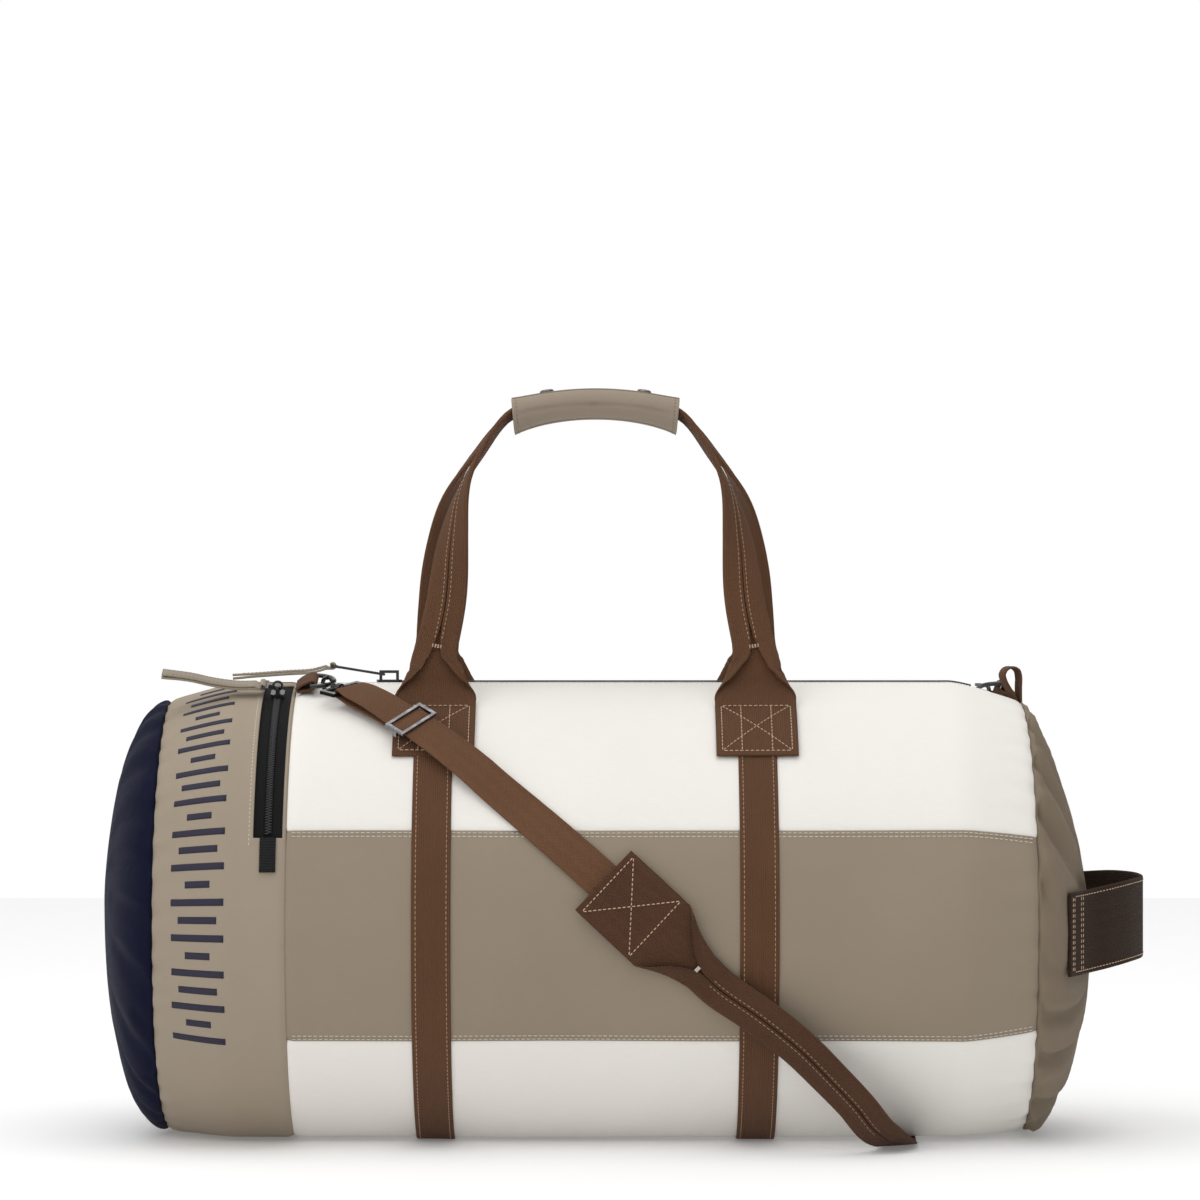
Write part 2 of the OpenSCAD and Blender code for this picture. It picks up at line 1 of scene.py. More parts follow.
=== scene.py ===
"""The looks of a barrel duffel bag, built round its CAD frame. Lengths are in metres."""

import json
import math

import bpy
import numpy as np
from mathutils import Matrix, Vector


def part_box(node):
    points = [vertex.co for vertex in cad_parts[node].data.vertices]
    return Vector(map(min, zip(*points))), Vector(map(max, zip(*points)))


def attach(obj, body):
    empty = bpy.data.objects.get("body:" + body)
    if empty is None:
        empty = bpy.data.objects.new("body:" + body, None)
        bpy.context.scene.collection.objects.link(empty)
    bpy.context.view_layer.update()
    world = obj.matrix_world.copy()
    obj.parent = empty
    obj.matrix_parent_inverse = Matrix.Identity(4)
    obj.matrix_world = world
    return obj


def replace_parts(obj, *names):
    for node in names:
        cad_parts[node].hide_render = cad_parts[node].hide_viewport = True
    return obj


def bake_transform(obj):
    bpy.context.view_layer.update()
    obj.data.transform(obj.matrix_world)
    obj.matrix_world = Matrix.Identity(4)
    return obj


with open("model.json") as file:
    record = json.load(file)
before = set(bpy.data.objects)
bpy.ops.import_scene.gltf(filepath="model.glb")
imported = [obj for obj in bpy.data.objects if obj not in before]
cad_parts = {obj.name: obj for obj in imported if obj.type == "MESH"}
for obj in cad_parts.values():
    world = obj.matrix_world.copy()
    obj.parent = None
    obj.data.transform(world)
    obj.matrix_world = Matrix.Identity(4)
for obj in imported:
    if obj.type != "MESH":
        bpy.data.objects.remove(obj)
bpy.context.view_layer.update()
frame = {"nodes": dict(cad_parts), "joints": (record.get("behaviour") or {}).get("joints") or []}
MM = 0.001

# ---------------------------------------------------------------- places taken from the frame


def box(node):
    lo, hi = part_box(node)
    return np.array(lo), np.array(hi)


def joint_place(name):
    return np.array(next(j for j in frame["joints"] if j["name"] == name)["pos_m"])


cuff_lo, cuff_hi = box("cuff_panel")
cap_lo, cap_hi = box("right_end_panel")
AXIS_Z = (cap_lo[2] + cap_hi[2]) / 2
RIM_R = (cap_hi[2] - cap_lo[2]) / 2
BAG_R = cuff_hi[2] - AXIS_Z
SEAM_X = -cuff_lo[0]
CUFF_X = cuff_hi[0]
BULGE = cap_hi[0] - SEAM_X
SHOULDER_X = 236 * MM
LAYER = 1.5 * MM
FLAT_Z = 1.7 * MM
WEB_W = box("left_girth_strap")[1][0] - box("left_girth_strap")[0][0]
GIRTH_X = box("right_girth_strap")[0][0] + WEB_W / 2
TAPE_LO, TAPE_HI = box("main_zip_front_tape")
SLOT_Y = -TAPE_LO[1]
POCKET_LO, POCKET_HI = box("pocket_zip_tape")

# ---------------------------------------------------------------- camera, light and floor


def link_object(name, data):
    made = bpy.data.objects.new(name, data)
    bpy.context.scene.collection.objects.link(made)
    return made


CAMERA_PLACE = (3 * MM, -3.2, 0.354)
LIGHT_AIM = (0, 0, 0.15)
DOME_STRENGTH = 0.8


def make_camera():
    data = bpy.data.cameras.new("camera")
    data.lens = 144
    data.sensor_width = 36
    data.clip_start = 0.05
    data.clip_end = 60
    camera = link_object("camera", data)
    camera.location = CAMERA_PLACE
    camera.rotation_euler = (math.radians(90), 0, 0)
    bpy.context.scene.camera = camera


def area_light(name, place, size, power):
    """A soft rectangular light aimed at the middle of the bag."""
    data = bpy.data.lights.new(name, "AREA")
    data.shape = "RECTANGLE"
    data.size, data.size_y = size
    data.energy = power
    light = link_object(name, data)
    light.location = place
    light.rotation_euler = (Vector(LIGHT_AIM) - Vector(place)).to_track_quat("-Z", "Y").to_euler()


def make_stage():
    """A pale floor in front of a white surround, lit softly from above as in a product photograph."""
    reach = 2.5
    corners = [(x * reach, y * reach, 0.0) for x, y in ((-1, -1), (1, -1), (1, 1), (-1, 1))]
    mesh = bpy.data.meshes.new("floor")
    mesh.from_pydata(corners, [], [(0, 1, 2, 3)])
    paint, _, shader = new_material("pale_floor")
    set_inputs(shader, {"Base Color": (0.85, 0.85, 0.85, 1), "Roughness": 0.9, "Specular IOR Level": 0.1,
                        "Emission Color": (1, 1, 1, 1), "Emission Strength": 0.14})
    mesh.materials.append(paint)
    link_object("floor", mesh)

    world = bpy.data.worlds.new("studio")
    world.use_nodes = True
    tree = world.node_tree
    dome = tree.nodes["Background"]
    set_inputs(dome, {"Color": (1, 1, 1, 1)})
    direction = node(tree, "ShaderNodeSeparateXYZ")
    tree.links.new(node(tree, "ShaderNodeTexCoord").outputs["Generated"], direction.inputs[0])
    from_above = remap(tree, direction.outputs[2], 0.0, 1.0, 0.92 * DOME_STRENGTH, 1.35 * DOME_STRENGTH)
    from_right = remap(tree, direction.outputs[0], 0.1, 1.0, 1.0, 0.3)
    tree.links.new(maths(tree, "MULTIPLY", from_above, from_right), dome.inputs["Strength"])
    backdrop = node(tree, "ShaderNodeBackground", Color=(1, 1, 1, 1), Strength=1.0)
    path = node(tree, "ShaderNodeLightPath")
    choice = node(tree, "ShaderNodeMixShader")
    tree.links.new(path.outputs["Is Camera Ray"], choice.inputs[0])
    tree.links.new(dome.outputs[0], choice.inputs[1])
    tree.links.new(backdrop.outputs[0], choice.inputs[2])
    tree.links.new(choice.outputs[0], tree.nodes["World Output"].inputs[0])
    bpy.context.scene.world = world
    bpy.context.scene.view_settings.view_transform = "Standard"
    area_light("top_light", (0.0, -0.5, 2.6), (2.6, 2.2), 22)
    area_light("front_left_light", (-2.4, -2.6, 1.7), (1.4, 1.8), 12)


# ---------------------------------------------------------------- materials


def new_material(name):
    made = bpy.data.materials.new(name)
    made.use_nodes = True
    tree = made.node_tree
    return made, tree, tree.nodes["Principled BSDF"]


def node(tree, kind, **values):
    made = tree.nodes.new(kind)
    for key, value in values.items():
        if key in made.inputs.keys():
            made.inputs[key].default_value = value
        else:
            setattr(made, key, value)
    return made


def set_inputs(target, values):
    for name, value in values.items():
        target.inputs[name].default_value = value


def feed(tree, value, socket):
    """Sets a socket to a plain value, or links another node's output to it."""
    if isinstance(value, (int, float, tuple)):
        socket.default_value = value
    else:
        tree.links.new(value, socket)


def maths(tree, operation, a, b=None):
    made = node(tree, "ShaderNodeMath", operation=operation)
    feed(tree, a, made.inputs[0])
    if b is not None:
        feed(tree, b, made.inputs[1])
    return made.outputs[0]


def total(tree, *terms):
    """The sum of [value, share] pairs, each value times its share."""
    added, *others = [value if share == 1 else maths(tree, "MULTIPLY", value, share)
                      for value, share in terms]
    for other in others:
        added = maths(tree, "ADD", added, other)
    return added


def mix_colour(tree, factor, a, b, blend="MIX"):
    made = node(tree, "ShaderNodeMix", data_type="RGBA", blend_type=blend)
    for index, value in ((0, factor), (6, a), (7, b)):
        feed(tree, value, made.inputs[index])
    return made.outputs[2]


def linear(r, g, b):
    """An sRGB colour of 0 to 255 as linear RGBA."""
    def channel(c):
        c /= 255
        return c / 12.92 if c <= 0.04045 else ((c + 0.055) / 1.055) ** 2.4
    return channel(r), channel(g), channel(b), 1.0


def scaled(colour, by):
    return tuple(c * by for c in colour[:3]) + (1.0,)


def ridges(tree, coordinate, pitch):
    """A sine along one coordinate in metres, from -1 to 1."""
    return maths(tree, "SINE", maths(tree, "MULTIPLY", coordinate, 2 * math.pi / pitch))


def uv_of(tree):
    uv = node(tree, "ShaderNodeUVMap", uv_map="cloth")
    split = node(tree, "ShaderNodeSeparateXYZ")
    tree.links.new(uv.outputs[0], split.inputs[0])
    return uv.outputs[0], split.outputs[0], split.outputs[1]


def place_of(tree):
    return node(tree, "ShaderNodeTexCoord").outputs["Object"]


def noise(tree, vector, scale, detail, stretch=None):
    """Noise from 0 to 1, with its own scale along each axis where stretch is given."""
    if stretch:
        mapping = node(tree, "ShaderNodeMapping", Scale=stretch)
        tree.links.new(vector, mapping.inputs["Vector"])
        vector = mapping.outputs[0]
    made = node(tree, "ShaderNodeTexNoise", Scale=scale, Detail=detail, Roughness=0.55)
    tree.links.new(vector, made.inputs["Vector"])
    return made.outputs["Fac"]


def remap(tree, value, from_lo, from_hi, to_lo, to_hi):
    made = node(tree, "ShaderNodeMapRange")
    for index, number in enumerate((from_lo, from_hi, to_lo, to_hi), 1):
        made.inputs[index].default_value = number
    tree.links.new(value, made.inputs[0])
    return made.outputs[0]


def finish_shader(tree, shader, base, height, distance, strength, settings):
    """Colour, bump and the values that are the same all over."""
    tree.links.new(base, shader.inputs["Base Color"])
    made = node(tree, "ShaderNodeBump", Strength=strength, Distance=distance)
    tree.links.new(height, made.inputs["Height"])
    tree.links.new(made.outputs[0], shader.inputs["Normal"])
    set_inputs(shader, settings)


def canvas(name, colour, pitch=0.0007, sheen=0.05, roughness=0.82, patchy=0.05, specular=0.15):
    """Plain weave cloth: warp and weft cross in the bump and tint each other, with slubs and soft wear."""
    made, tree, shader = new_material(name)
    uv, u, v = uv_of(tree)
    weave = maths(tree, "MULTIPLY", ridges(tree, u, pitch), ridges(tree, v, pitch))
    threads = noise(tree, uv, 1.0, 2.0, stretch=(120, 1500, 1))
    large = noise(tree, place_of(tree), 9.0, 4.0)
    base = mix_colour(tree, remap(tree, large, 0.3, 0.7, 0.0, 1.0),
                      scaled(colour, 1 - patchy), scaled(colour, 1 + patchy))
    grey = remap(tree, total(tree, (threads, 0.10), (weave, 0.03)), -0.03, 0.13, 0.93, 1.05)
    combine = node(tree, "ShaderNodeCombineColor")
    for socket in combine.inputs[:3]:
        tree.links.new(grey, socket)
    base = mix_colour(tree, 1.0, base, combine.outputs[0], "MULTIPLY")
    finish_shader(tree, shader, base, total(tree, (weave, 1), (threads, 1.4)), 0.00012, 0.55,
                  {"Roughness": roughness, "Specular IOR Level": specular, "Sheen Weight": sheen,
                   "Sheen Roughness": 0.5})
    return made


def webbing(name, colour, pitch=0.0013, sheen=0.03, edge=0.35, twill=1.0):
    """Ribbed webbing: V runs along it and U across it, in a herringbone of slanted ribs."""
    made, tree, shader = new_material(name)
    uv, u, v = uv_of(tree)
    flip = maths(tree, "PINGPONG", u, 0.0042)
    ribs = ridges(tree, total(tree, (v, 1), (flip, twill)), pitch)
    weave = total(tree, (ribs, 1), (ridges(tree, u, 0.0014), 0.7))
    fuzz = noise(tree, uv, 1.0, 3.0, stretch=(2600, 420, 1))
    large = noise(tree, place_of(tree), 24.0, 4.0)
    shade = total(tree, (weave, 0.11), (fuzz, 0.5))
    base = mix_colour(tree, remap(tree, shade, 0.0, 0.5, 0.0, 1.0), scaled(colour, 0.62), scaled(colour, 1.3))
    base = mix_colour(tree, remap(tree, large, 0.35, 0.75, 0.0, edge), base, scaled(colour, 1.35))
    finish_shader(tree, shader, base, total(tree, (weave, 1), (fuzz, 1)), 0.0003, 0.9,
                  {"Roughness": 0.72, "Specular IOR Level": 0.15, "Sheen Weight": sheen,
                   "Sheen Roughness": 0.45})
    return made


def metal(name, colour, roughness, worn, coat=0.0, metallic=1.0):
    """Plated or coated metal with fine scratches and brighter wear where the noise is high."""
    made, tree, shader = new_material(name)
    scratches = noise(tree, place_of(tree), 1.0, 4.0, stretch=(900, 140, 900))
    large = noise(tree, place_of(tree), 160.0, 4.0)
    base = mix_colour(tree, remap(tree, large, 0.45, 0.75, 0.0, 1.0), colour, worn)
    tree.links.new(remap(tree, scratches, 0.2, 0.8, roughness * 0.75, roughness * 1.3),
                   shader.inputs["Roughness"])
    finish_shader(tree, shader, base, scratches, 0.00003, 0.5,
                  {"Metallic": metallic, "Coat Weight": coat, "Coat Roughness": 0.08})
    return made


def thread(name, colour):
    """Sewing thread: fine fuzz in the bump and the tint, from its position in space."""
    made, tree, shader = new_material(name)
    fuzz = noise(tree, place_of(tree), 1400.0, 2.0)
    large = noise(tree, place_of(tree), 60.0, 2.0)
    base = mix_colour(tree, remap(tree, fuzz, 0.3, 0.7, 0.0, 1.0), scaled(colour, 0.8), scaled(colour, 1.15))
    base = mix_colour(tree, remap(tree, large, 0.3, 0.7, 0.0, 0.3), base, scaled(colour, 0.75))
    finish_shader(tree, shader, base, fuzz, 0.0001, 0.5, {"Roughness": 0.6, "Sheen Weight": 0.2})
    return made


def plastic(name, colour):
    """Moulded nylon for the zip coils: slightly mottled gloss."""
    made, tree, shader = new_material(name)
    mottle = noise(tree, place_of(tree), 500.0, 3.0)
    base = mix_colour(tree, mottle, scaled(colour, 0.8), scaled(colour, 1.3))
    tree.links.new(remap(tree, mottle, 0.2, 0.8, 0.28, 0.4375), shader.inputs["Roughness"])
    finish_shader(tree, shader, base, mottle, 0.00002, 0.4, {})
    return made


MATERIALS = {
    "cream": canvas("cream_canvas", linear(238, 234, 228), patchy=0.012),
    "khaki": canvas("khaki_canvas", linear(147, 134, 117), patchy=0.04, sheen=0.04),
    "cuff": canvas("cuff_canvas", linear(158, 145, 128), patchy=0.04),
    "taupe": canvas("taupe_canvas", linear(133, 119, 101)),
    "navy": canvas("navy_nylon", linear(19, 22, 44), 0.0005, sheen=0.0, roughness=0.6, patchy=0.08,
                   specular=0.06),
    "lining": canvas("lining_cloth", linear(58, 58, 62), 0.0009, sheen=0.25, patchy=0.1),
    "grip": canvas("grip_canvas", linear(150, 137, 122)),
    "puller": canvas("puller_canvas", linear(152, 141, 125)),
    "ink": canvas("printed_ink", linear(52, 50, 64), sheen=0.02, roughness=0.6, patchy=0.08),
    "brown": webbing("brown_webbing", linear(102, 70, 48)),
    "strap": webbing("strap_webbing", linear(114, 80, 56)),
    "strap_wide": webbing("wide_strap_webbing", linear(88, 59, 42)),
    "dark": webbing("dark_webbing", linear(52, 34, 19), edge=0.15),
    "tape": webbing("zip_tape", linear(24, 25, 25), pitch=0.0009, edge=0.15, sheen=0.01),
    "tab": webbing("ribbed_tab", linear(30, 31, 31), pitch=0.0018, edge=0.15, sheen=0.02, twill=0.0),
    "coil": plastic("nylon_coil", linear(18, 19, 19)),
    "tan_thread": thread("tan_thread", linear(196, 166, 136)),
    "pale_thread": thread("pale_thread", linear(206, 198, 184)),
    "taupe_thread": thread("taupe_thread", linear(112, 100, 86)),
    "strap_thread": thread("strap_thread", linear(172, 136, 104)),
    "gunmetal": metal("gunmetal", linear(118, 116, 118), 0.3, linear(168, 166, 166)),
    "black_metal": metal("black_metal", linear(20, 20, 22), 0.25, linear(46, 46, 48), coat=0.6, metallic=0.4),
}

# ---------------------------------------------------------------- the skin of the stuffed bag


def smoothstep(t):
    t = np.clip(t, 0, 1)
    return t * t * (3 - 2 * t)


def bell(distance, width):
    """1 at no distance, falling to nothing at about twice the width."""
    return np.exp(-(distance / width) ** 2)


def clear_of(distance, reach):
    """0 at no distance, rising to 1 beyond the reach."""
    return 1 - np.exp(-(distance / reach) ** 4)


def barrel(x):
    """Radius along the barrel: flat in the middle, rounding off over the shoulders."""
    t = np.clip((np.abs(x) - SHOULDER_X) / (SEAM_X - SHOULDER_X), 0, 1)
    return BAG_R - (BAG_R - RIM_R) * t ** 1.25


def right_sag(height):
    """How far the right end bulges against an even one: pulled flat above, sagging below."""
    heights = np.array([-142, -110, -70, -50, 0, 50, 70, 90, 110, 130, 142]) * MM
    share = [0.86, 0.92, 1.06, 1.08, 1.05, 0.93, 0.83, 0.7, 0.58, 0.34, 0.2]
    return np.interp(height, heights, share)


def rest_shape(u, rise):
    """The bag before its cloth is loaded. u is 0 to 1 on the left end, 1 to 2 along, 2 to 3 on the right."""
    angle = np.radians(rise)
    x = -SEAM_X + 2 * SEAM_X * np.clip(u - 1, 0, 1)
    left, right = np.clip(1 - u, 0, 1), np.clip(u - 2, 0, 1)
    bend = (left + right) * math.pi / 2
    r = np.where(bend > 0, RIM_R * np.cos(bend), barrel(x))
    y, up = -r * np.cos(angle), r * np.sin(angle)
    x = x + BULGE * np.sin(bend) * np.where(right > 0, right_sag(up), -1.0)
    z = AXIS_Z + up
    flat, soft = FLAT_Z, 3 * MM
    over = z - flat
    z = flat + np.where(over > soft, over, soft * np.exp(np.clip(over / soft - 1, -30, 0)))
    return np.stack([x, y, z], -1)


def u_at(x):
    return 1 + (np.asarray(x, float) + SEAM_X) / (2 * SEAM_X)


class Skin:
    """The bag's outer surface as a grid of points, read at any u and rise with smooth interpolation."""

    def __init__(self, u_lines, rows):
        self.u_lines = u_lines
        self.rows = rows
        self.grid_u, self.grid_rise = np.meshgrid(u_lines, np.arange(rows) * 360 / rows, indexing="ij")
        self.points = rest_shape(self.grid_u, self.grid_rise)
        self.free = freedom(self.points)

    def move(self, lift):
        """Lifts every grid point off the surface, as far as it is free and no lower than the floor."""
        shift = self.normal(self.grid_u, self.grid_rise) * (lift * self.free)[..., None]
        self.points = self.points + shift
        self.points[..., 2] = np.maximum(self.points[..., 2], FLAT_Z)

    def place(self, u, rise):
        u, rise = np.broadcast_arrays(np.asarray(u, float), np.asarray(rise, float))
        columns = len(self.u_lines)
        at = np.interp(u, self.u_lines, np.arange(columns))
        i = np.clip(np.floor(at).astype(int), 0, columns - 2)
        fu = at - i
        turn = np.mod(rise, 360) * self.rows / 360
        j = np.floor(turn).astype(int)
        fv = turn - j
        total = 0
        for di, wu in zip((-1, 0, 1, 2), spline_weights(fu)):
            row = np.clip(i + di, 0, columns - 1)
            for dj, wv in zip((-1, 0, 1, 2), spline_weights(fv)):
                total = total + (wu * wv)[..., None] * self.points[row, (j + dj) % self.rows]
        return total

    def normal(self, u, rise):
        du, dv = 0.004, 0.7
        u = np.clip(u, du, 3 - du)
        along = self.place(u + du, rise) - self.place(u - du, rise)
        around = self.place(u, rise + dv) - self.place(u, rise - dv)
        n = np.cross(along, around)
        return n / np.maximum(np.linalg.norm(n, axis=-1, keepdims=True), 1e-12)

    def at(self, u, rise, lift=0.0):
        lift = np.asarray(lift, float)
        return self.place(u, rise) + self.normal(u, rise) * lift[..., None]


def spline_weights(t):
    """Catmull-Rom weights of the four neighbours."""
    return (-0.5 * t + t * t - 0.5 * t ** 3, 1 - 2.5 * t * t + 1.5 * t ** 3,
            0.5 * t + 2 * t * t - 1.5 * t ** 3, -0.5 * t * t + 0.5 * t ** 3)


def skin_lines():
    """Grid lines along the bag: closer on the ends' rims."""
    cap = 1 - (1 - np.linspace(0.0, 1.0, 24)) ** 1.15
    cap = cap[:-1]
    side = np.linspace(1.0, 2.0, 96)
    return np.concatenate([cap, side, 3 - cap[::-1]])


def freedom(points):
    """From 0 to 1, how free the cloth is: held under the zips, the metal parts and the end's webbing."""
    x, y, z = np.moveaxis(points, -1, 0)
    on_top = (z > AXIS_Z) & (x > TAPE_LO[0] - 20 * MM) & (x < TAPE_HI[0] + 20 * MM)
    free = np.where(on_top, clear_of(y, 17 * MM), 1)
    beside = x - (POCKET_LO[0] + POCKET_HI[0]) / 2
    by_pocket = (y < 0) & (z > AXIS_Z + 20 * MM)
    free = free * np.where(by_pocket, clear_of(beside, 20 * MM), 1)
    held = [(sum(box(name)) / 2, 48 * MM) for name in ("left_d_ring", "left_hook", "strap_tri_glide",
                                                      "right_d_ring", "right_hook")]
    handle_lo, handle_hi = box("end_handle")
    foot_z = (handle_lo[2] + handle_hi[2]) / 2
    held += [(np.array([handle_lo[0] + 8 * MM, y_side, foot_z]), 40 * MM) for y_side in (-116 * MM, 116 * MM)]
    held += [(sum(box("end_loop")) / 2, 34 * MM)]
    for place, reach in held:
        free = free * clear_of(np.linalg.norm(points - place, axis=-1), reach)
    return free


def wave(phase, sharpness=0.35):
    """A rounded ridge with a narrower valley, from about -1 to 1."""
    return np.sin(phase) + sharpness * np.sin(2 * phase + 0.8)


GATHER_DEPTH = 5.0 * MM
FINE_DEPTH = 1.5 * MM
SCALLOP_DEPTH = 1.5 * MM
PUCKER_DEPTH = 0.7 * MM
SLACK_DEPTH = 0.6 * MM


def sewn_folds(u, rise):
    """Lift of the folds that the seams gather into the cloth."""
    angle = np.radians(rise)
    swing = 1.6 * np.sin(2 * angle + 0.4) + 1.1 * np.sin(5 * angle + 2.0)
    uneven = 0.75 + 0.25 * np.sin(3 * angle + 1.2) * np.sin(2 * angle + 0.3)
    left, right = np.clip(1 - u, 0, 1), np.clip(u - 2, 0, 1)
    gathered = smoothstep(right / 0.07) * (1 - smoothstep((right - 0.25) / 0.55))
    lift = GATHER_DEPTH * uneven * gathered * wave(19 * angle + swing + 9 * right, 0.45)
    fine = smoothstep(right / 0.03) * (1 - smoothstep((right - 0.06) / 0.16))
    lift = lift + FINE_DEPTH * fine * wave(41 * angle + 2 * swing)
    scallop = smoothstep(left / 0.04) * (1 - smoothstep((left - 0.1) / 0.5))
    lift = lift + SCALLOP_DEPTH * scallop * uneven * wave(24 * angle - swing - 8 * left)
    along = (u - 1) * 2 * SEAM_X
    on_barrel = (u >= 1) & (u <= 2)
    for seam, reach, turns in ((2 * SEAM_X, 26 * MM, 44), (0.0, 16 * MM, 50)):
        near = bell(along - seam, reach) * on_barrel
        lift = lift + PUCKER_DEPTH * near * wave(turns * angle + swing)
    slack = np.sin(along / (41 * MM) + 2 * np.sin(2 * angle)) * np.sin(4 * angle + along / (90 * MM) + 0.5)
    return lift + SLACK_DEPTH * slack * on_barrel


SIM_FRAMES = 20
STUFFING = {
    "quality": 4, "mass": 0.3, "tension_stiffness": 20, "compression_stiffness": 12, "shear_stiffness": 8,
    "bending_stiffness": 0.4, "air_damping": 2.0, "use_pressure": True, "uniform_pressure_force": 4,
    "vertex_group_mass": "pinned", "vertex_group_shrink": "ease", "shrink_min": 0.0, "shrink_max": -0.04,
}
END_TRAVEL = 8 * MM
BARREL_TRAVEL = 2.5 * MM


def stuffing_weights(skin):
    """How firmly each inner grid point is held, and how much larger than its place its cloth is cut."""
    u, rise = skin.grid_u[1:-1], skin.grid_rise[1:-1]
    along = (u - 1) * 2 * SEAM_X
    seams = np.min([np.abs(along - seam) for seam in (0, 2 * SEAM_X, CUFF_X + SEAM_X)], 0)
    sewn = bell(seams, 3 * MM)
    for edge in (BAND_TOP, BAND_LOW, 180 - BAND_TOP, 180 - BAND_LOW):
        turn = np.abs((rise - edge + 180) % 360 - 180)
        sewn = np.maximum(sewn, bell(arc(turn), 3 * MM) * ((u > U_CUFF) & (u < 2)))
    resting = skin.points[1:-1, :, 2] < FLAT_Z + 1 * MM
    pinned = np.clip(np.maximum(sewn, resting) + (1 - skin.free[1:-1]) * 0.5, 0, 1)
    return {"pinned": pinned, "ease": np.where((u < 1) | (u > 2), 1.0, 0.35)}


def blown_up(points, faces, weights):
    """The points after their cloth has filled out. The weights are those of all but the first and last."""
    mesh = bpy.data.meshes.new("stuffing")
    mesh.from_pydata([tuple(p) for p in points], [], faces)
    cloth_object = link_object("stuffing", mesh)
    for name, values in weights.items():
        group = cloth_object.vertex_groups.new(name=name)
        for index, weight in enumerate(values.ravel(), 1):
            if weight > 0.01:
                group.add([index], float(weight), "REPLACE")
    cloth = cloth_object.modifiers.new("cloth", "CLOTH")
    for name, value in STUFFING.items():
        setattr(cloth.settings, name, value)
    cloth.settings.effector_weights.gravity = 0
    cloth.collision_settings.use_collision = False
    cloth.point_cache.frame_start = 1
    cloth.point_cache.frame_end = SIM_FRAMES
    scene = bpy.context.scene
    for frame_number in range(1, SIM_FRAMES + 1):
        scene.frame_set(frame_number)
    seen = cloth_object.evaluated_get(bpy.context.evaluated_depsgraph_get()).to_mesh()
    moved = np.zeros(len(seen.vertices) * 3)
    seen.vertices.foreach_get("co", moved)
    bpy.data.objects.remove(cloth_object)
    bpy.data.meshes.remove(mesh)
    scene.frame_set(1)
    return moved.reshape(-1, 3)


def stuffed(skin):
    """Blows the skin up as cloth under pressure, cut a little large and sewn down at its seams."""
    skin.move(sewn_folds(skin.grid_u, skin.grid_rise))
    columns, rows = skin.grid_u.shape
    points = np.vstack([skin.points[0, :1], skin.points[1:-1].reshape(-1, 3), skin.points[-1, :1]])
    last = len(points) - 1
    faces = [tuple(int(k) + 1 for k in face) for face in grid_faces(columns - 2, rows, wrap=True)]
    for j in range(rows):
        k = (j + 1) % rows
        faces.append((0, 1 + j, 1 + k))
        faces.append((last - rows + j, last, last - rows + k))
    moved = blown_up(points, faces, stuffing_weights(skin)) - points
    shift = np.zeros_like(skin.points)
    shift[0], shift[-1] = moved[0], moved[-1]
    shift[1:-1] = moved[1:-1].reshape(columns - 2, rows, 3)
    lift = (shift * skin.normal(skin.grid_u, skin.grid_rise)).sum(-1)
    lift = lift - lift.mean(1, keepdims=True)
    limit = np.where((skin.grid_u < 1) | (skin.grid_u > 2), END_TRAVEL, BARREL_TRAVEL)
    skin.move(limit * np.tanh(lift / limit))
    return skin


# ---------------------------------------------------------------- mesh helpers


def finish_mesh(name, points, faces, material, body, uv=None, replaces=()):
    mesh = bpy.data.meshes.new(name)
    mesh.from_pydata([tuple(p) for p in np.asarray(points, float)], [], [tuple(map(int, f)) for f in faces])
    if uv is not None:
        layer = mesh.uv_layers.new(name="cloth")
        loops = np.zeros(len(mesh.loops), int)
        mesh.loops.foreach_get("vertex_index", loops)
        layer.data.foreach_set("uv", np.asarray(uv, float)[loops].astype(np.float32).ravel())
    mesh.polygons.foreach_set("use_smooth", [True] * len(mesh.polygons))
    mesh.update()
    mesh.materials.append(MATERIALS[material])
    made = link_object(name, mesh)
    if replaces:
        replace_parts(made, *replaces)
    if body:
        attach(made, body)
    return made


def flat_uv(u, rise):
    """UVs in metres of places on the bag, with its barrel unrolled."""
    return np.stack([(u - 1.5) * 2 * SEAM_X, np.radians(rise) * BAG_R], -1).reshape(-1, 2)


def grid_faces(rows, columns, wrap=False):
    """Quads of a grid of points [rows, columns], optionally closed across the columns."""
    last = columns if wrap else columns - 1
    i, j = np.meshgrid(np.arange(rows - 1), np.arange(last), indexing="ij")
    k = (j + 1) % columns
    quads = np.stack([i * columns + j, (i + 1) * columns + j, (i + 1) * columns + k, i * columns + k], -1)
    return quads.reshape(-1, 4)


def shell(name, u, rise, material, lift, keep=None, thickness=1.4 * MM, replaces=()):
    """A cloth piece over the grid of u and rise, as thick as its cloth, with UVs in metres."""
    grid_u, grid_v = np.meshgrid(u, rise, indexing="ij")
    points = skin.at(grid_u, grid_v, lift(grid_u, grid_v))
    faces = grid_faces(len(u), len(rise))
    if keep is not None:
        middle_u = grid_u.ravel()[faces].mean(1)
        middle_v = grid_v.ravel()[faces].mean(1)
        faces = faces[keep(middle_u, middle_v)]
    used = np.unique(faces)
    renumber = np.zeros(grid_u.size, int)
    renumber[used] = np.arange(len(used))
    made = finish_mesh(name, points.reshape(-1, 3)[used], renumber[faces], material, "bag",
                       flat_uv(grid_u, grid_v)[used], replaces)
    thicken(made, thickness)


def thicken(made, thickness):
    solid = made.modifiers.new("thickness", "SOLIDIFY")
    solid.thickness = thickness
    solid.offset = -1
    solid.use_even_offset = False


def seam_dip(distance, depth=1.3 * MM, width=2.6 * MM):
    return -depth * bell(distance, width)


def arc(degrees):
    """Length round the barrel of an angle in degrees, which may be an array."""
    return np.radians(degrees) * BAG_R


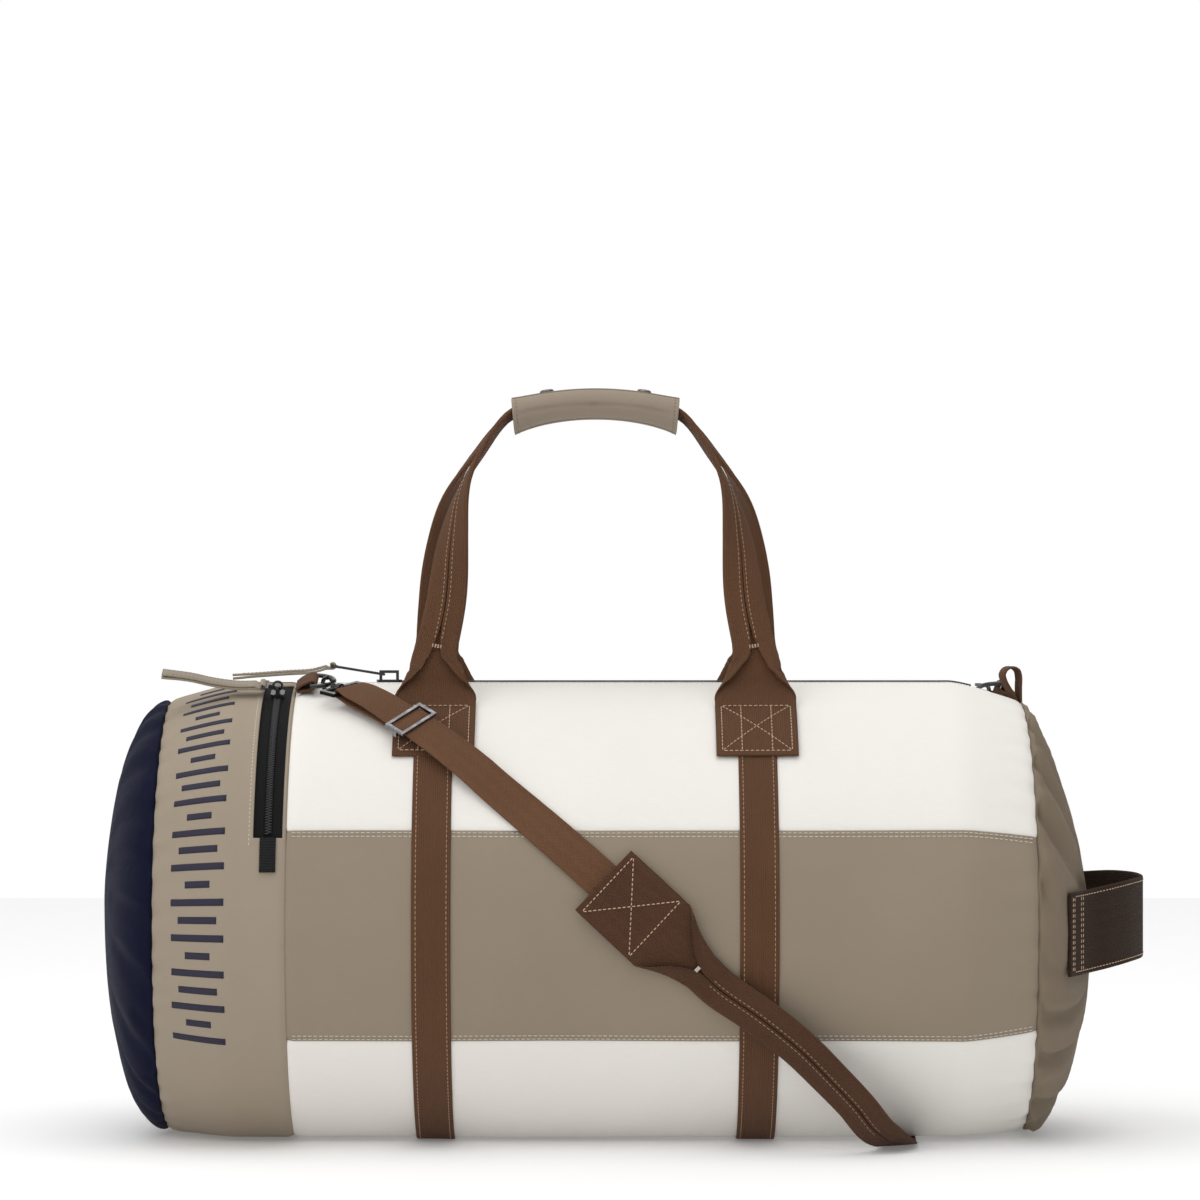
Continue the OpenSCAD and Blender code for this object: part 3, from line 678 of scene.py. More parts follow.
def lines_between(low, high, step, fine=()):
    """Grid lines from low to high, closer near the ends and near any value in fine."""
    count = max(2, int(round((high - low) / step)))
    lines = list(np.linspace(low, high, count + 1))
    for centre in (low, high, *fine):
        for share in (-1.0, -0.5, -0.2, 0.0, 0.2, 0.5, 1.0):
            value = centre + share * step
            if low <= value <= high:
                lines.append(value)
    lines = np.unique(np.round(lines, 6))
    kept = [lines[0]]
    for value in lines[1:]:
        if value - kept[-1] > step * 0.12:
            kept.append(value)
    kept[-1] = high
    return np.array(kept)


# ---------------------------------------------------------------- body panels

BAND_TOP, BAND_LOW = 24.0, -28.0
SLOT_HALF = math.degrees(math.asin(SLOT_Y / BAG_R))
U_CUFF = float(u_at(CUFF_X))
U_SLOT = (float(u_at(TAPE_LO[0])), float(u_at(TAPE_HI[0])))
STEP_U = 4 * MM / (2 * SEAM_X)
STEP_V = math.degrees(4 * MM / BAG_R)
POCKET_LOW, POCKET_HIGH = 22.0, 82.0
U_POCKET = (float(u_at(POCKET_LO[0])), float(u_at(POCKET_HI[0])))


def side_panel(name, low, high, material, node_name, slot=None):
    """One panel of the barrel between two rises, dipping into the seams on its edges."""
    u = lines_between(U_CUFF, 2.0, STEP_U, fine=U_SLOT if slot else ())
    rise = lines_between(low, high, STEP_V, fine=(slot,) if slot else ())

    def lift(at_u, at_v):
        along = np.minimum(at_u - U_CUFF, 2.0 - at_u) * 2 * SEAM_X
        dip = seam_dip(along)
        for edge in (at_v - low, high - at_v):
            dip = dip + seam_dip(arc(edge), 0.8 * MM, 1.8 * MM)
        if slot:
            inside = (at_u > U_SLOT[0] - 0.01) & (at_u < U_SLOT[1] + 0.01)
            dip = dip + np.where(inside, 0.5 * MM * bell(arc(at_v - slot), 3 * MM), 0)
        return dip

    keep = None
    if slot:
        def keep(at_u, at_v):
            beside = at_v > slot if high == 90.0 else at_v < slot
            return ~((at_u > U_SLOT[0]) & (at_u < U_SLOT[1]) & beside)

    shell(name, u, rise, material, lift, keep, replaces=[node_name])


def body_panels():
    side_panel("upper_front_cloth", BAND_TOP, 90.0, "cream", "upper_front_panel", slot=90 - SLOT_HALF)
    side_panel("upper_back_cloth", 90.0, 180 - BAND_TOP, "cream", "upper_back_panel", slot=90 + SLOT_HALF)
    side_panel("front_band_cloth", BAND_LOW, BAND_TOP, "khaki", "front_band")
    side_panel("back_band_cloth", 180 - BAND_TOP, 180 - BAND_LOW, "khaki", "back_band")
    side_panel("base_cloth", 180 - BAND_LOW, 360 + BAND_LOW, "cream", "base_panel")
    cuff_cloth()
    end_cloth("left", 0.0, 1.0, "navy")
    end_cloth("right", 2.0, 3.0, "taupe")


def cuff_cloth():
    u = lines_between(1.0, U_CUFF, STEP_U, fine=U_POCKET)
    rise = lines_between(-90.0, 270.0, STEP_V, fine=(POCKET_LOW, POCKET_HIGH))

    def lift(at_u, at_v):
        along = np.minimum(at_u - 1.0, U_CUFF - at_u) * 2 * SEAM_X
        beside = np.minimum(np.abs(at_u - U_POCKET[0]), np.abs(at_u - U_POCKET[1])) * 2 * SEAM_X
        near = (at_v > POCKET_LOW - 1) & (at_v < POCKET_HIGH + 1)
        return seam_dip(along) + np.where(near, 0.5 * MM * bell(beside, 3 * MM), 0)

    def keep(at_u, at_v):
        return ~((at_u > U_POCKET[0]) & (at_u < U_POCKET[1]) & (at_v > POCKET_LOW) & (at_v < POCKET_HIGH))

    shell("cuff_cloth", u, rise, "cuff", lift, keep, replaces=["cuff_panel"])


def end_cloth(side, low, high, material):
    """One end, from its seam to a pinhole at its middle that is too small to see."""
    pole = 0.001
    u = np.clip(np.linspace(low, high, 49), pole, 3 - pole)
    seam = 1.0 if side == "left" else 2.0

    def lift(at_u, at_v):
        return seam_dip(np.abs(at_u - seam) * RIM_R * math.pi / 2)

    shell(f"{side}_end_cloth", u, np.linspace(-90, 270, 221), material, lift, replaces=[f"{side}_end_panel"])


# ---------------------------------------------------------------- swept pieces


def unit(v):
    v = np.asarray(v, float)
    return v / np.maximum(np.linalg.norm(v, axis=-1, keepdims=True), 1e-12)


def spline(points, steps):
    """A smooth curve through rows of numbers, with that many steps between each two."""
    p = np.asarray(points, float)
    p = np.vstack([2 * p[0] - p[1], p, 2 * p[-1] - p[-2]])
    rows = []
    for i in range(1, len(p) - 2):
        for t in np.arange(steps) / steps:
            weights = spline_weights(np.array(t))
            rows.append(sum(w * q for w, q in zip(weights, p[i - 1:i + 3])))
    rows.append(p[-2])
    return np.array(rows)


def tangents(points):
    return unit(np.gradient(points, axis=0))


def lengths(points):
    return np.concatenate([[0], np.cumsum(np.linalg.norm(np.diff(points, axis=0), axis=1))])


def sampled(at, run, rows):
    """Rows of vectors read at distances along the run."""
    return np.stack([np.interp(at, run, rows[:, k]) for k in range(3)], -1)


def sweep(name, loops, material, body, uv, replaces=()):
    """Skins closed loops of points [station, corner] and closes both ends."""
    stations, corners = loops.shape[:2]
    faces = [list(f) for f in grid_faces(stations, corners, wrap=True)]
    faces.append(list(range(corners)))
    faces.append([(stations - 1) * corners + j for j in range(corners - 1, -1, -1)])
    if enclosed(loops) < 0:
        faces = [face[::-1] for face in faces]
    return finish_mesh(name, loops.reshape(-1, 3), faces, material, body, uv.reshape(-1, 2), replaces)


def enclosed(loops):
    """Six times the volume inside a sweep, negative where its faces would point inwards."""
    points = loops - loops.mean((0, 1))
    a, b = points[:-1], points[1:]
    c, d = np.roll(b, -1, 1), np.roll(a, -1, 1)
    return float((a * np.cross(b, c)).sum() + (a * np.cross(c, d)).sum())


def band_profile(half_w, thick, columns):
    """Closed section of webbing, [across, up], with soft edges."""
    edge = min(thick * 0.45, half_w * 0.2)
    across = np.linspace(-half_w + edge, half_w - edge, columns)
    top = [(a, thick / 2) for a in across]
    low = [(a, -thick / 2) for a in across[::-1]]
    corner = 0.32 * thick
    return np.array(top + [(half_w - edge * 0.3, corner), (half_w, 0), (half_w - edge * 0.3, -corner)]
                    + low + [(-half_w + edge * 0.3, -corner), (-half_w, 0), (-half_w + edge * 0.3, corner)])


def folded_profile(half_w, fold, angle, thick, columns=27):
    """Section of webbing whose two edges fold up over it at -fold and fold, by the angle."""
    radius = 0.75 * thick
    turn = max(radius * angle, 0.4 * MM)
    q = np.linspace(0, half_w, columns)
    theta = angle * smoothstep((q - fold) / turn + 0.5)
    step = np.gradient(q)
    x = np.concatenate([[0], np.cumsum((np.cos(theta)[1:] + np.cos(theta)[:-1]) / 2 * np.diff(q))])
    y = np.concatenate([[0], np.cumsum((np.sin(theta)[1:] + np.sin(theta)[:-1]) / 2 * np.diff(q))])
    nx, ny = -np.sin(theta), np.cos(theta)
    taper = np.where(q > half_w - step[-1] * 1.2, 0.7, 1.0) * thick / 2
    upper = np.stack([x + nx * taper, y + ny * taper], -1)
    lower = np.stack([x - nx * taper, y - ny * taper], -1)
    left_upper, left_lower = upper * [-1, 1], lower * [-1, 1]
    loop = np.vstack([left_upper[::-1], upper[1:], lower[::-1], left_lower[1:]])
    across = np.concatenate([-q[::-1], q[1:], q[::-1], -q[1:]])
    return loop, across


def loops_along(points, ups, profiles):
    """Places a section [across, up] at each point, its up direction as near as it can be to ups."""
    t = tangents(points)
    side = unit(np.cross(t, ups))
    up = np.cross(side, t)
    profiles = np.broadcast_to(profiles, (len(points),) + np.shape(profiles)[-2:])
    return (points[:, None] + side[:, None] * profiles[..., :1] + up[:, None] * profiles[..., 1:]), side, up


def strap(name, points, ups, half_w, material, replaces, thick=LAYER, body="bag", columns=9):
    """Flat webbing along points, with its face towards ups."""
    profile = band_profile(half_w, thick, columns)
    loops, _, _ = loops_along(points, ups, profile)
    run = np.repeat(lengths(points)[:, None], len(profile), 1)
    across = np.broadcast_to(profile[:, 0], run.shape)
    return sweep(name, loops, material, body, np.stack([across, run], -1), replaces)


def edge_on(name, points, sides, *options, **more):
    """Flat webbing along points, with its edges towards sides."""
    sides = np.broadcast_to(sides, points.shape)
    strap(name, points, unit(np.cross(sides, tangents(points))), *options, **more)


def stations(x, rise, lift):
    """Rows [x, rise, lift], each of which may be one number or one for each row."""
    return np.stack(np.broadcast_arrays(x, rise, lift), -1)


def on_skin(rows):
    """Rows [x, rise, lift] in metres and degrees as points, with the outward normals there."""
    x, rise, lift = np.asarray(rows, float).T
    u = u_at(x)
    return skin.at(u, rise, lift), skin.normal(u, rise)


# ---------------------------------------------------------------- stitching


STITCH_SHARE = 0.72
STITCH_SINK = 0.1 * MM
# Sections of one stitch: [share of its length, height in radii, thickness]
STITCH = ((0.0, -0.8, 0.5), (0.12, 0.15, 0.9), (0.5, 0.5, 1.0), (0.88, 0.15, 0.9), (1.0, -0.8, 0.5))


def rings_round(centre, side, up):
    """A hexagon of points round each centre."""
    angle = np.arange(6) * math.pi / 3
    return (centre[:, None] + side[:, None] * np.cos(angle)[None, :, None]
            + up[:, None] * np.sin(angle)[None, :, None])


def stitch_row(points, normals, pitch, radius, gap=0.0):
    """Sections of thread along one row: each stitch rises out of the cloth, lies on it and dips back."""
    run = lengths(points)
    total = run[-1] - 2 * gap
    count = max(1, int(total / pitch))
    starts = gap + (np.arange(count) + 0.5 * (1 - STITCH_SHARE)) * total / count
    rings = []
    for along, high, fat in STITCH:
        at = starts + along * STITCH_SHARE * total / count
        centre = sampled(at, run, points)
        up = unit(sampled(at, run, normals))
        rings.append((centre + up * (high * radius - STITCH_SINK), up, fat * radius))
    direction = unit(rings[-1][0] - rings[0][0])
    loops = [rings_round(centre, unit(np.cross(direction, up)) * fat, up * fat) for centre, up, fat in rings]
    return np.stack(loops, 1)


def stitching(name, rows, material, body):
    """All rows of one seam as one piece: rows are arrays from stitch_row."""
    made = np.concatenate(rows)
    stitches = made.shape[0]
    one = [list(f) for f in grid_faces(5, 6, wrap=True)]
    one += [list(range(6)), [24 + j for j in range(5, -1, -1)]]
    faces = [[30 * i + k for k in face] for i in range(stitches) for face in one]
    return finish_mesh(name, made.reshape(-1, 3), faces, material, body)


def skin_row(rows, steps, **options):
    """A stitch row through rows [x, rise, lift] on the bag's surface."""
    return stitch_row(*on_skin(spline(rows, steps)), **options)


def line_row(ends, up, **options):
    """A straight stitch row between two points that share one normal."""
    t = np.linspace(0, 1, 13)[:, None]
    points = ends[0] * (1 - t) + ends[1] * t
    return stitch_row(points, np.broadcast_to(up, points.shape), **options)


# ---------------------------------------------------------------- webbing on the bag

EDGE_ROW = 9.8 * MM


def girth_straps():
    low, high = -240.0, 47.0
    rise = np.arange(low, high + 0.01, 2.0)
    for side, name in ((-1, "left"), (1, "right")):
        x = side * GIRTH_X
        points, normals = on_skin(stations(x, rise, 0.75 * MM))
        strap(f"{name}_girth_webbing", points, normals, WEB_W / 2, "brown", [f"{name}_girth_strap"])
        rows = []
        for edge in (-EDGE_ROW, EDGE_ROW):
            line = on_skin(stations(x + edge, rise, 1.55 * MM))
            rows.append(stitch_row(*line, pitch=3.3 * MM, radius=0.3 * MM))
        stitching(f"{name}_girth_stitches", rows, "strap_thread", "bag")


def band_stitches():
    """Twin rows along both edges of each contrast band."""
    for name, edges in (("front", (BAND_TOP, BAND_LOW)), ("back", (180 - BAND_TOP, 180 - BAND_LOW))):
        rows = []
        for edge in edges:
            inwards = math.copysign(1, (edges[0] + edges[1]) / 2 - edge)
            for distance in (1.9, 4.3):
                turn = inwards * math.degrees(distance * MM / BAG_R)
                x = np.linspace(CUFF_X + 3 * MM, SEAM_X - 3 * MM, 60)
                line = stations(x, edge + turn, 0.1 * MM)
                rows.append(skin_row(line, 2, pitch=3.4 * MM, radius=0.34 * MM))
        stitching(f"{name}_band_stitches", rows, "pale_thread", "bag")


def folded_webbing(name, points, ups, folds, angles, drops, half_w, thick, material, body, replaces=()):
    """Webbing whose edges fold over its face. Every shape value may be one number or one for each point."""
    values = [np.broadcast_to(v, len(points)) for v in (half_w, folds, angles, thick, drops)]
    sections, across = [], []
    for width, fold, angle, layer, drop in zip(*values):
        loop, run_across = folded_profile(width, fold, angle, layer)
        sections.append(loop - [0, drop])
        across.append(run_across)
    loops, side, up = loops_along(points, ups, np.array(sections))
    run = np.repeat(lengths(points)[:, None], loops.shape[1], 1)
    made = sweep(name, loops, material, body, uv=np.stack([np.array(across), run], -1), replaces=replaces)
    return made, side, up


# ---------------------------------------------------------------- carrying handles

_, HINGE_Y, HINGE_Z = np.abs(joint_place("front_handle_swing"))
HANDLE_H = 204 * MM
GRIP_STRAP_Y = 10.2 * MM
LEAN = math.asin((HINGE_Y - GRIP_STRAP_Y) / HANDLE_H)
PATCH_LIFT = 2.4 * MM
PATCH_RISES = (44.4, 47.0, 50.5, 54.0, 57.5, 61.0, 63.6)
HINGE_RISE = 66.0
# One leg of the arch in millimetres, [distance from the middle of the bag, height in the handle's plane]
ARCH = [(104.5, 10), (104.5, 20), (104.5, 33), (98, 68), (94.5, 106), (88.5, 142), (75.5, 170),
        (56, 196.5), (28, 202.2)]
HANDLE_HALF_W = 26.5
# Against the height in millimetres: fold line, fold angle and how far the section sits low
FOLD_H = [-60, -5, -1, 6, 14, 22, 30, 38, 50, 68, 142, 186, 204]
FOLD_LINE = [28, 28, 26.8, 24.2, 20.6, 17.4, 15.1, 14.0, 13.4, 13, 12.4, 9.2, 9]
FOLD_ANGLE = [0, 0, 0.7, 1.7, 2.4, 2.8, 3.0, 3.05, 3.06, 3.06, 3.06, 3.06, 3.06]
FOLD_DROP = [0, 0, 0.1, 0.3, 0.7, 0.9, 1.1, 1.1, 1.1, 1.1, 1.1, 1.1, 1.1]


def mirrored_rise(side, rise):
    """The rise of a place at the front, or of its mirror image at the back."""
    return rise if side < 0 else 180 - rise


def handle_path(side, spread):
    """Points, outward normals and heights of one handle, from its left square end to its right one."""
    up = np.array([0, -side * math.sin(LEAN), math.cos(LEAN)])
    out = np.array([0, side * math.cos(LEAN), math.sin(LEAN)])
    hinge = np.array([0, side * HINGE_Y, HINGE_Z])
    leg = []
    for rise in PATCH_RISES:
        place, normal = on_skin([[GIRTH_X, mirrored_rise(side, rise), PATCH_LIFT]])
        leg.append([*place[0], *normal[0], -arc(HINGE_RISE - rise)])
    for x, height in ARCH:
        x += spread * float(smoothstep(height / 80) * smoothstep((204 - height) / 60))
        place = hinge + up * height * MM
        leg.append([x * MM, place[1], place[2], *out, height * MM])
    mirrored = [[-row[0], *row[1:]] for row in leg]
    top = hinge + up * HANDLE_H
    rows = spline(mirrored + [[*top, *out, HANDLE_H]] + leg[::-1], 7)
    points, normals, height = rows[:, :3], unit(rows[:, 3:6]), rows[:, 6] / MM
    turn = -math.pi / 2 * smoothstep((height - 50) / 135)
    across = -side * np.cross(normals, tangents(points))
    ups = normals * np.cos(turn)[:, None] - across * np.sin(turn)[:, None]
    return points, ups, height


def handle(name, side, spread):
    body = f"{name}_handle"
    points, ups, height = handle_path(side, spread)
    fold, angle, drop = (np.interp(height, FOLD_H, row) for row in (FOLD_LINE, FOLD_ANGLE, FOLD_DROP))
    half = np.minimum(HANDLE_HALF_W, 2 * fold - 0.15)
    made, across, up = folded_webbing(
        f"{name}_handle_webbing", points, ups, fold * MM, angle, drop * MM, half * MM, LAYER, "brown", None,
        replaces=[body, f"{name}_left_handle_end", f"{name}_right_handle_end"])
    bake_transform(made)

    face = 2.0 * MM
    rows, tacks = [], []
    middle = len(points) // 2
    for leg in (slice(0, middle), slice(middle, len(points))):
        sewn = (height[leg] > 41) & (height[leg] < 152)
        for offset in (-2.3, 2.3):
            line = points[leg] + up[leg] * face + across[leg] * offset * MM
            rows.append(stitch_row(line[sewn], up[leg][sewn], pitch=3.1 * MM, radius=0.32 * MM))
        at = int(np.argmin(np.abs(height[leg] - 37)))
        for step in (-0.8, 0.0, 0.8):
            centre = points[leg][at] + up[leg][at] * face + tangents(points)[leg][at] * step * MM
            ends = [centre + across[leg][at] * reach * MM for reach in (-3.6, 3.6)]
            tacks.append(line_row(ends, up[leg][at], pitch=1.8 * MM, radius=0.36 * MM))
    stitching(f"{name}_handle_stitches", rows, "strap_thread", body)
    stitching(f"{name}_handle_tacks", tacks, "tan_thread", body)
    square_stitches(name, side)


def square_stitches(name, side):
    """A cross between two rows on each square end, over which the girth strap's edge rows run on."""
    low, high, half = 45.8, 63.2, 22.5
    lines = [((-half, high), (half, high)), ((-half, low), (half, low)), ((-half, low), (-half, high)),
             ((half, low), (half, high)), ((-half, low), (half, high)), ((half, low), (-half, high))]
    lines += [((x, low), (x, high)) for x in (-EDGE_ROW / MM, EDGE_ROW / MM)]
    rows = []
    for x in (-GIRTH_X, GIRTH_X):
        for line in lines:
            ends = [[x + a * MM, mirrored_rise(side, rise), PATCH_LIFT + 0.86 * MM] for a, rise in line]
            rows.append(skin_row(ends, 12, pitch=3.2 * MM, radius=0.34 * MM, gap=0.6 * MM))
    stitching(f"{name}_square_stitches", rows, "tan_thread", "bag")


# ---------------------------------------------------------------- grip

GRIP_HALF = 55 * MM
GRIP_SAGITTA = 7 * MM
GRIP_R = (GRIP_HALF ** 2 + GRIP_SAGITTA ** 2) / (2 * GRIP_SAGITTA)
GRIP_Z = box("grip_pad")[1][2] - 9 * MM
GRIP_FAN = 0.35
# Sections in millimetres, [y, height above the grip's line], from the lower split round to the top
PAD_SECTION = [(6, -8.2), (-2, -8.5), (-10, -8.4), (-16.5, -6.6), (-20.6, -3.6), (-22.3, -1.2), (-22.9, 1.6),
               (-21.8, 4.8), (-18.6, 7.4), (-13.5, 8.3), (-6, 8.4), (1, 8.3), (6, 8.3)]
FLAP_SECTION = [(6.35, -8.9), (10, -9.2), (16, -9), (21.6, -6), (23.6, 0), (22, 5.4), (17.5, 8.8), (12, 9.7),
                (4, 9.75), (-1, 9.75), (-4, 9.7)]


def grip_wrap(part, section, thick, body):
    """Cloth wrapped round both handles, drooping and flaring at its ends. The pad creases at its front."""
    line = spline(np.array(section) * MM, 5)
    normal = unit(np.stack([-tangents(line)[:, 1], tangents(line)[:, 0]], -1))
    if normal[len(line) // 2] @ line[len(line) // 2] < 0:
        normal = -normal
    reach = np.linspace(-1, 1, 61)
    reach = np.sign(reach) * (1 - (1 - np.abs(reach)) ** 1.3)
    loops, uvs = [], []
    run = lengths(line)
    peeled = body == "grip_flap"
    for share in reach:
        flare = abs(share) ** 7
        section_now = line + normal * 1.0 * MM * flare
        low = np.clip(-section_now[:, 1] / (8 * MM), 0, 1)
        section_now[:, 1] -= 2.8 * MM * abs(share) ** 2.2 * low
        if not peeled:
            depth = bell(line[:, 1] + 1.2 * MM, 1.3 * MM) * (line[:, 0] < -12 * MM)
            ripple = 0.8 + 0.25 * math.cos(9 * share) + 0.7 * math.exp(-((share + 0.03) / 0.03) ** 2)
            section_now = section_now - normal * (1.5 * MM * ripple * depth * (1 - flare))[:, None]
        outer = section_now + normal * thick / 2
        inner = section_now - normal * thick / 2
        loop = np.vstack([outer, inner[::-1]])
        angle = share * math.asin(GRIP_HALF / GRIP_R)
        across = np.sin(angle) * (GRIP_R + GRIP_FAN * loop[:, 1])
        height = np.cos(angle) * (GRIP_R + loop[:, 1])
        loops.append(np.stack([across, loop[:, 0], GRIP_Z - GRIP_R + height], -1))
        along = np.full(len(loop), share * GRIP_HALF)
        uvs.append(np.stack([along, np.concatenate([run, run[::-1]])], -1))
    loops = np.array(loops)
    rides = None if peeled else body
    made = sweep(f"{part}_cloth", loops, "grip", rides, np.array(uvs), [part])
    rows = []
    for share in (-0.955, 0.955):
        at = int(np.argmin(np.abs(reach - share)))
        outer = loops[at, 2:len(line) - 2]
        out = unit(outer - loops[at, ::-1][2:len(line) - 2])
        rows.append(stitch_row(outer, out, pitch=2.8 * MM, radius=0.3 * MM))
    sewn = stitching(f"{part}_cloth_stitches", rows, "taupe_thread", rides)
    if peeled:
        for piece in (made, sewn):
            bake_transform(piece)


def grip():
    grip_wrap("grip_pad", PAD_SECTION, 1.4 * MM, "front_handle")
    grip_wrap("grip_flap", FLAP_SECTION, 1.3 * MM, "grip_flap")


# ---------------------------------------------------------------- zips


COIL_PITCH = 1.9 * MM
# Sections of one tooth: [share of its length, thickness, height in millimetres]
TOOTH = ((0.0, 0.55, -0.3), (0.15, 0.9, 0.0), (0.6, 1.0, 0.12), (0.88, 0.9, 0.12), (1.0, 0.5, 0.0))


def teeth(name, rows):
    """Coil teeth along a zip: short rounded pegs that reach in from both tapes by turns."""
    points, normals = on_skin(rows)
    across = np.cross(normals, tangents(points))
    run = lengths(points)
    starts = np.arange(COIL_PITCH, run[-1] - COIL_PITCH / 2, COIL_PITCH / 2)
    side = np.where(np.arange(len(starts)) % 2 == 0, 1.0, -1.0)[:, None]
    centre, cross, up = (sampled(starts, run, each) for each in (points, across, normals))
    outer = centre + cross * side * 2.5 * MM
    inner = centre - cross * side * 0.5 * MM
    flat = unit(np.cross(unit(inner - outer), up))
    rings = []
    for share, fat, low in TOOTH:
        middle = outer * (1 - share) + inner * share + up * low * MM
        fat *= COIL_PITCH * 0.36
        rings.append(rings_round(middle, flat * fat, up * 0.9 * fat))
    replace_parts(stitching(f"{name}_teeth", [np.stack(rings, 1)], "coil", "bag"), f"{name}_coil")


def tape_lift(at_u, at_v):
    """The main zip's tapes rise from under the slot's edges to a coil that stands proud of the cloth."""
    from_coil = np.abs(at_v - 90) / SLOT_HALF
    from_end = np.minimum(at_u - U_SLOT[0], U_SLOT[1] - at_u) * 2 * SEAM_X
    proud = (1 - smoothstep(from_coil)) * smoothstep(from_end / (7 * MM))
    return (-1.5 + 2.1 * proud) * MM


def main_zip():
    edge = 2 * MM
    for name, low, high in (("front", 90 - SLOT_HALF - 0.9, 89.2), ("back", 90.8, 90 + SLOT_HALF + 0.9)):
        u = lines_between(float(u_at(TAPE_LO[0] - edge)), float(u_at(TAPE_HI[0] + edge)), STEP_U)
        rise = np.linspace(low, high, 11)
        shell(f"main_zip_{name}_tape_cloth", u, rise, "tape", tape_lift, thickness=0.7 * MM,
              replaces=[f"main_zip_{name}_tape"])
    x = np.arange(TAPE_LO[0] + 5 * MM, TAPE_HI[0] - 5 * MM, 2 * MM)
    teeth("main_zip", stations(x, 90, tape_lift(u_at(x), 90.0) + 0.35 * MM))
    rows = []
    for side in (-1, 1):
        rise = 90 + side * math.degrees(11 * MM / BAG_R)
        line = stations([TAPE_LO[0] - 3 * MM, 0, TAPE_HI[0] + 3 * MM], rise, 0.1 * MM)
        rows.append(skin_row(line, 60, pitch=3.4 * MM, radius=0.3 * MM))
    stitching("main_zip_stitches", rows, "pale_thread", "bag")


def pocket_zip():
    middle = (POCKET_LO[0] + POCKET_HI[0]) / 2
    rise = lines_between(POCKET_LOW - 0.6, POCKET_HIGH + 0.6, STEP_V)
    for name, low, high in (("left", POCKET_LO[0] - 2 * MM, middle - 2.2 * MM),
                            ("right", middle + 2.2 * MM, POCKET_HI[0] + 1 * MM)):
        u = np.linspace(float(u_at(low)), float(u_at(high)), 7)
        shell(f"pocket_zip_{name}_tape", u, rise, "tape", lambda at_u, at_v: np.full_like(at_u, -1.4 * MM),
              thickness=0.7 * MM, replaces=["pocket_zip_tape"] if name == "left" else ())
    at = np.arange(POCKET_LOW + 0.5, POCKET_HIGH - 0.5, 0.8)
    teeth("pocket_zip", stations(middle, at, -0.85 * MM))
    line = stations(POCKET_LO[0] - 2.6 * MM, [POCKET_LOW - 2, 52, POCKET_HIGH + 1], 0.1 * MM)
    row = skin_row(line, 40, pitch=3 * MM, radius=0.3 * MM)
    stitching("pocket_zip_stitches", [row], "pale_thread", "bag")

    points, normals = on_skin(stations(middle, np.linspace(POCKET_LOW - 8.4, POCKET_LOW - 0.1, 12), 1.0 * MM))
    strap("pocket_zip_end_tab", points, normals, 5.2 * MM, "tab", ["pocket_zip_tab"])


def puller(name, origin, axes, line, node_name):
    """A strip of canvas folded round the pull's bar: two layers that part a little along their edge."""
    line = spline(np.array(line) * MM, 6)
    t = tangents(line)
    normal = np.stack([t[:, 1], -t[:, 0]], -1)
    spread = 0.88 * MM + 0.3 * MM * smoothstep((lengths(line) - 50 * MM) / (14 * MM))
    upper, lower = line + normal * spread[:, None], line - normal * spread[:, None]
    turn = np.radians(np.linspace(250, -70, 15))
    loop = np.stack([np.cos(turn), np.sin(turn)], -1) * 1.85 * MM
    loop = loop[loop[:, 0] > -1.2 * MM]
    path = np.vstack([lower[::-1][:-1], loop[::-1], upper[1:]])
    points = origin + path[:, :1] * axes[0] + path[:, 1:] * axes[2]
    edge_on(f"{name}_cloth", points, axes[1], 5.5 * MM, "puller", [node_name], 1.55 * MM, name, 5)
    face = origin + upper[3:-2, :1] * axes[0] + upper[3:-2, 1:] * axes[2] + axes[2] * 0.8 * MM
    normals = np.broadcast_to(axes[2], face.shape)
    rows = [stitch_row(face + axes[1] * offset * MM, normals, pitch=2.6 * MM, radius=0.24 * MM)
            for offset in (-4.1, 4.1)]
    stitching(f"{name}_stitches", rows, "taupe_thread", name)


def pullers():
    origin = joint_place("main_puller_swing")
    line = [(-2.4, -0.4), (-14, -3.6), (-30, -4.6), (-48, -5.9), (-66, -7.2)]
    puller("main_puller", origin, np.eye(3), line, "main_zip_puller")
    origin = joint_place("pocket_puller_swing")
    axes = surface_axes(origin, 0)
    tilt = math.radians(4)
    axes = np.array([axes[0] * math.cos(tilt) - axes[2] * math.sin(tilt), axes[1],
                     axes[2] * math.cos(tilt) + axes[0] * math.sin(tilt)])
    line = [(-2.4, -0.3), (-16, -1.5), (-32, -0.5), (-48, 2), (-66, 3)]
    puller("pocket_puller", origin, axes, line, "pocket_zip_puller")


# ---------------------------------------------------------------- rings, shoulder strap and end pieces

BAR_DISTANCE = 36 * MM
LOOP_R = 2.6 * MM
STRAP_SLANT = math.radians(43.5)
STRAP_TURN_R = BAG_R + 6 * MM


def surface_axes(origin, turn):
    """Axes of a part that lies on the barrel at a point: along the bag and turned, across, and outwards."""
    a, b = math.atan2(origin[2] - AXIS_Z, -origin[1]), math.radians(turn)
    out = np.array([0, -math.cos(a), math.sin(a)])
    up = np.array([0, math.sin(a), math.cos(a)])
    along = np.array([1.0, 0, 0])
    return np.array([along * math.cos(b) + up * math.sin(b), up * math.cos(b) - along * math.sin(b), out])


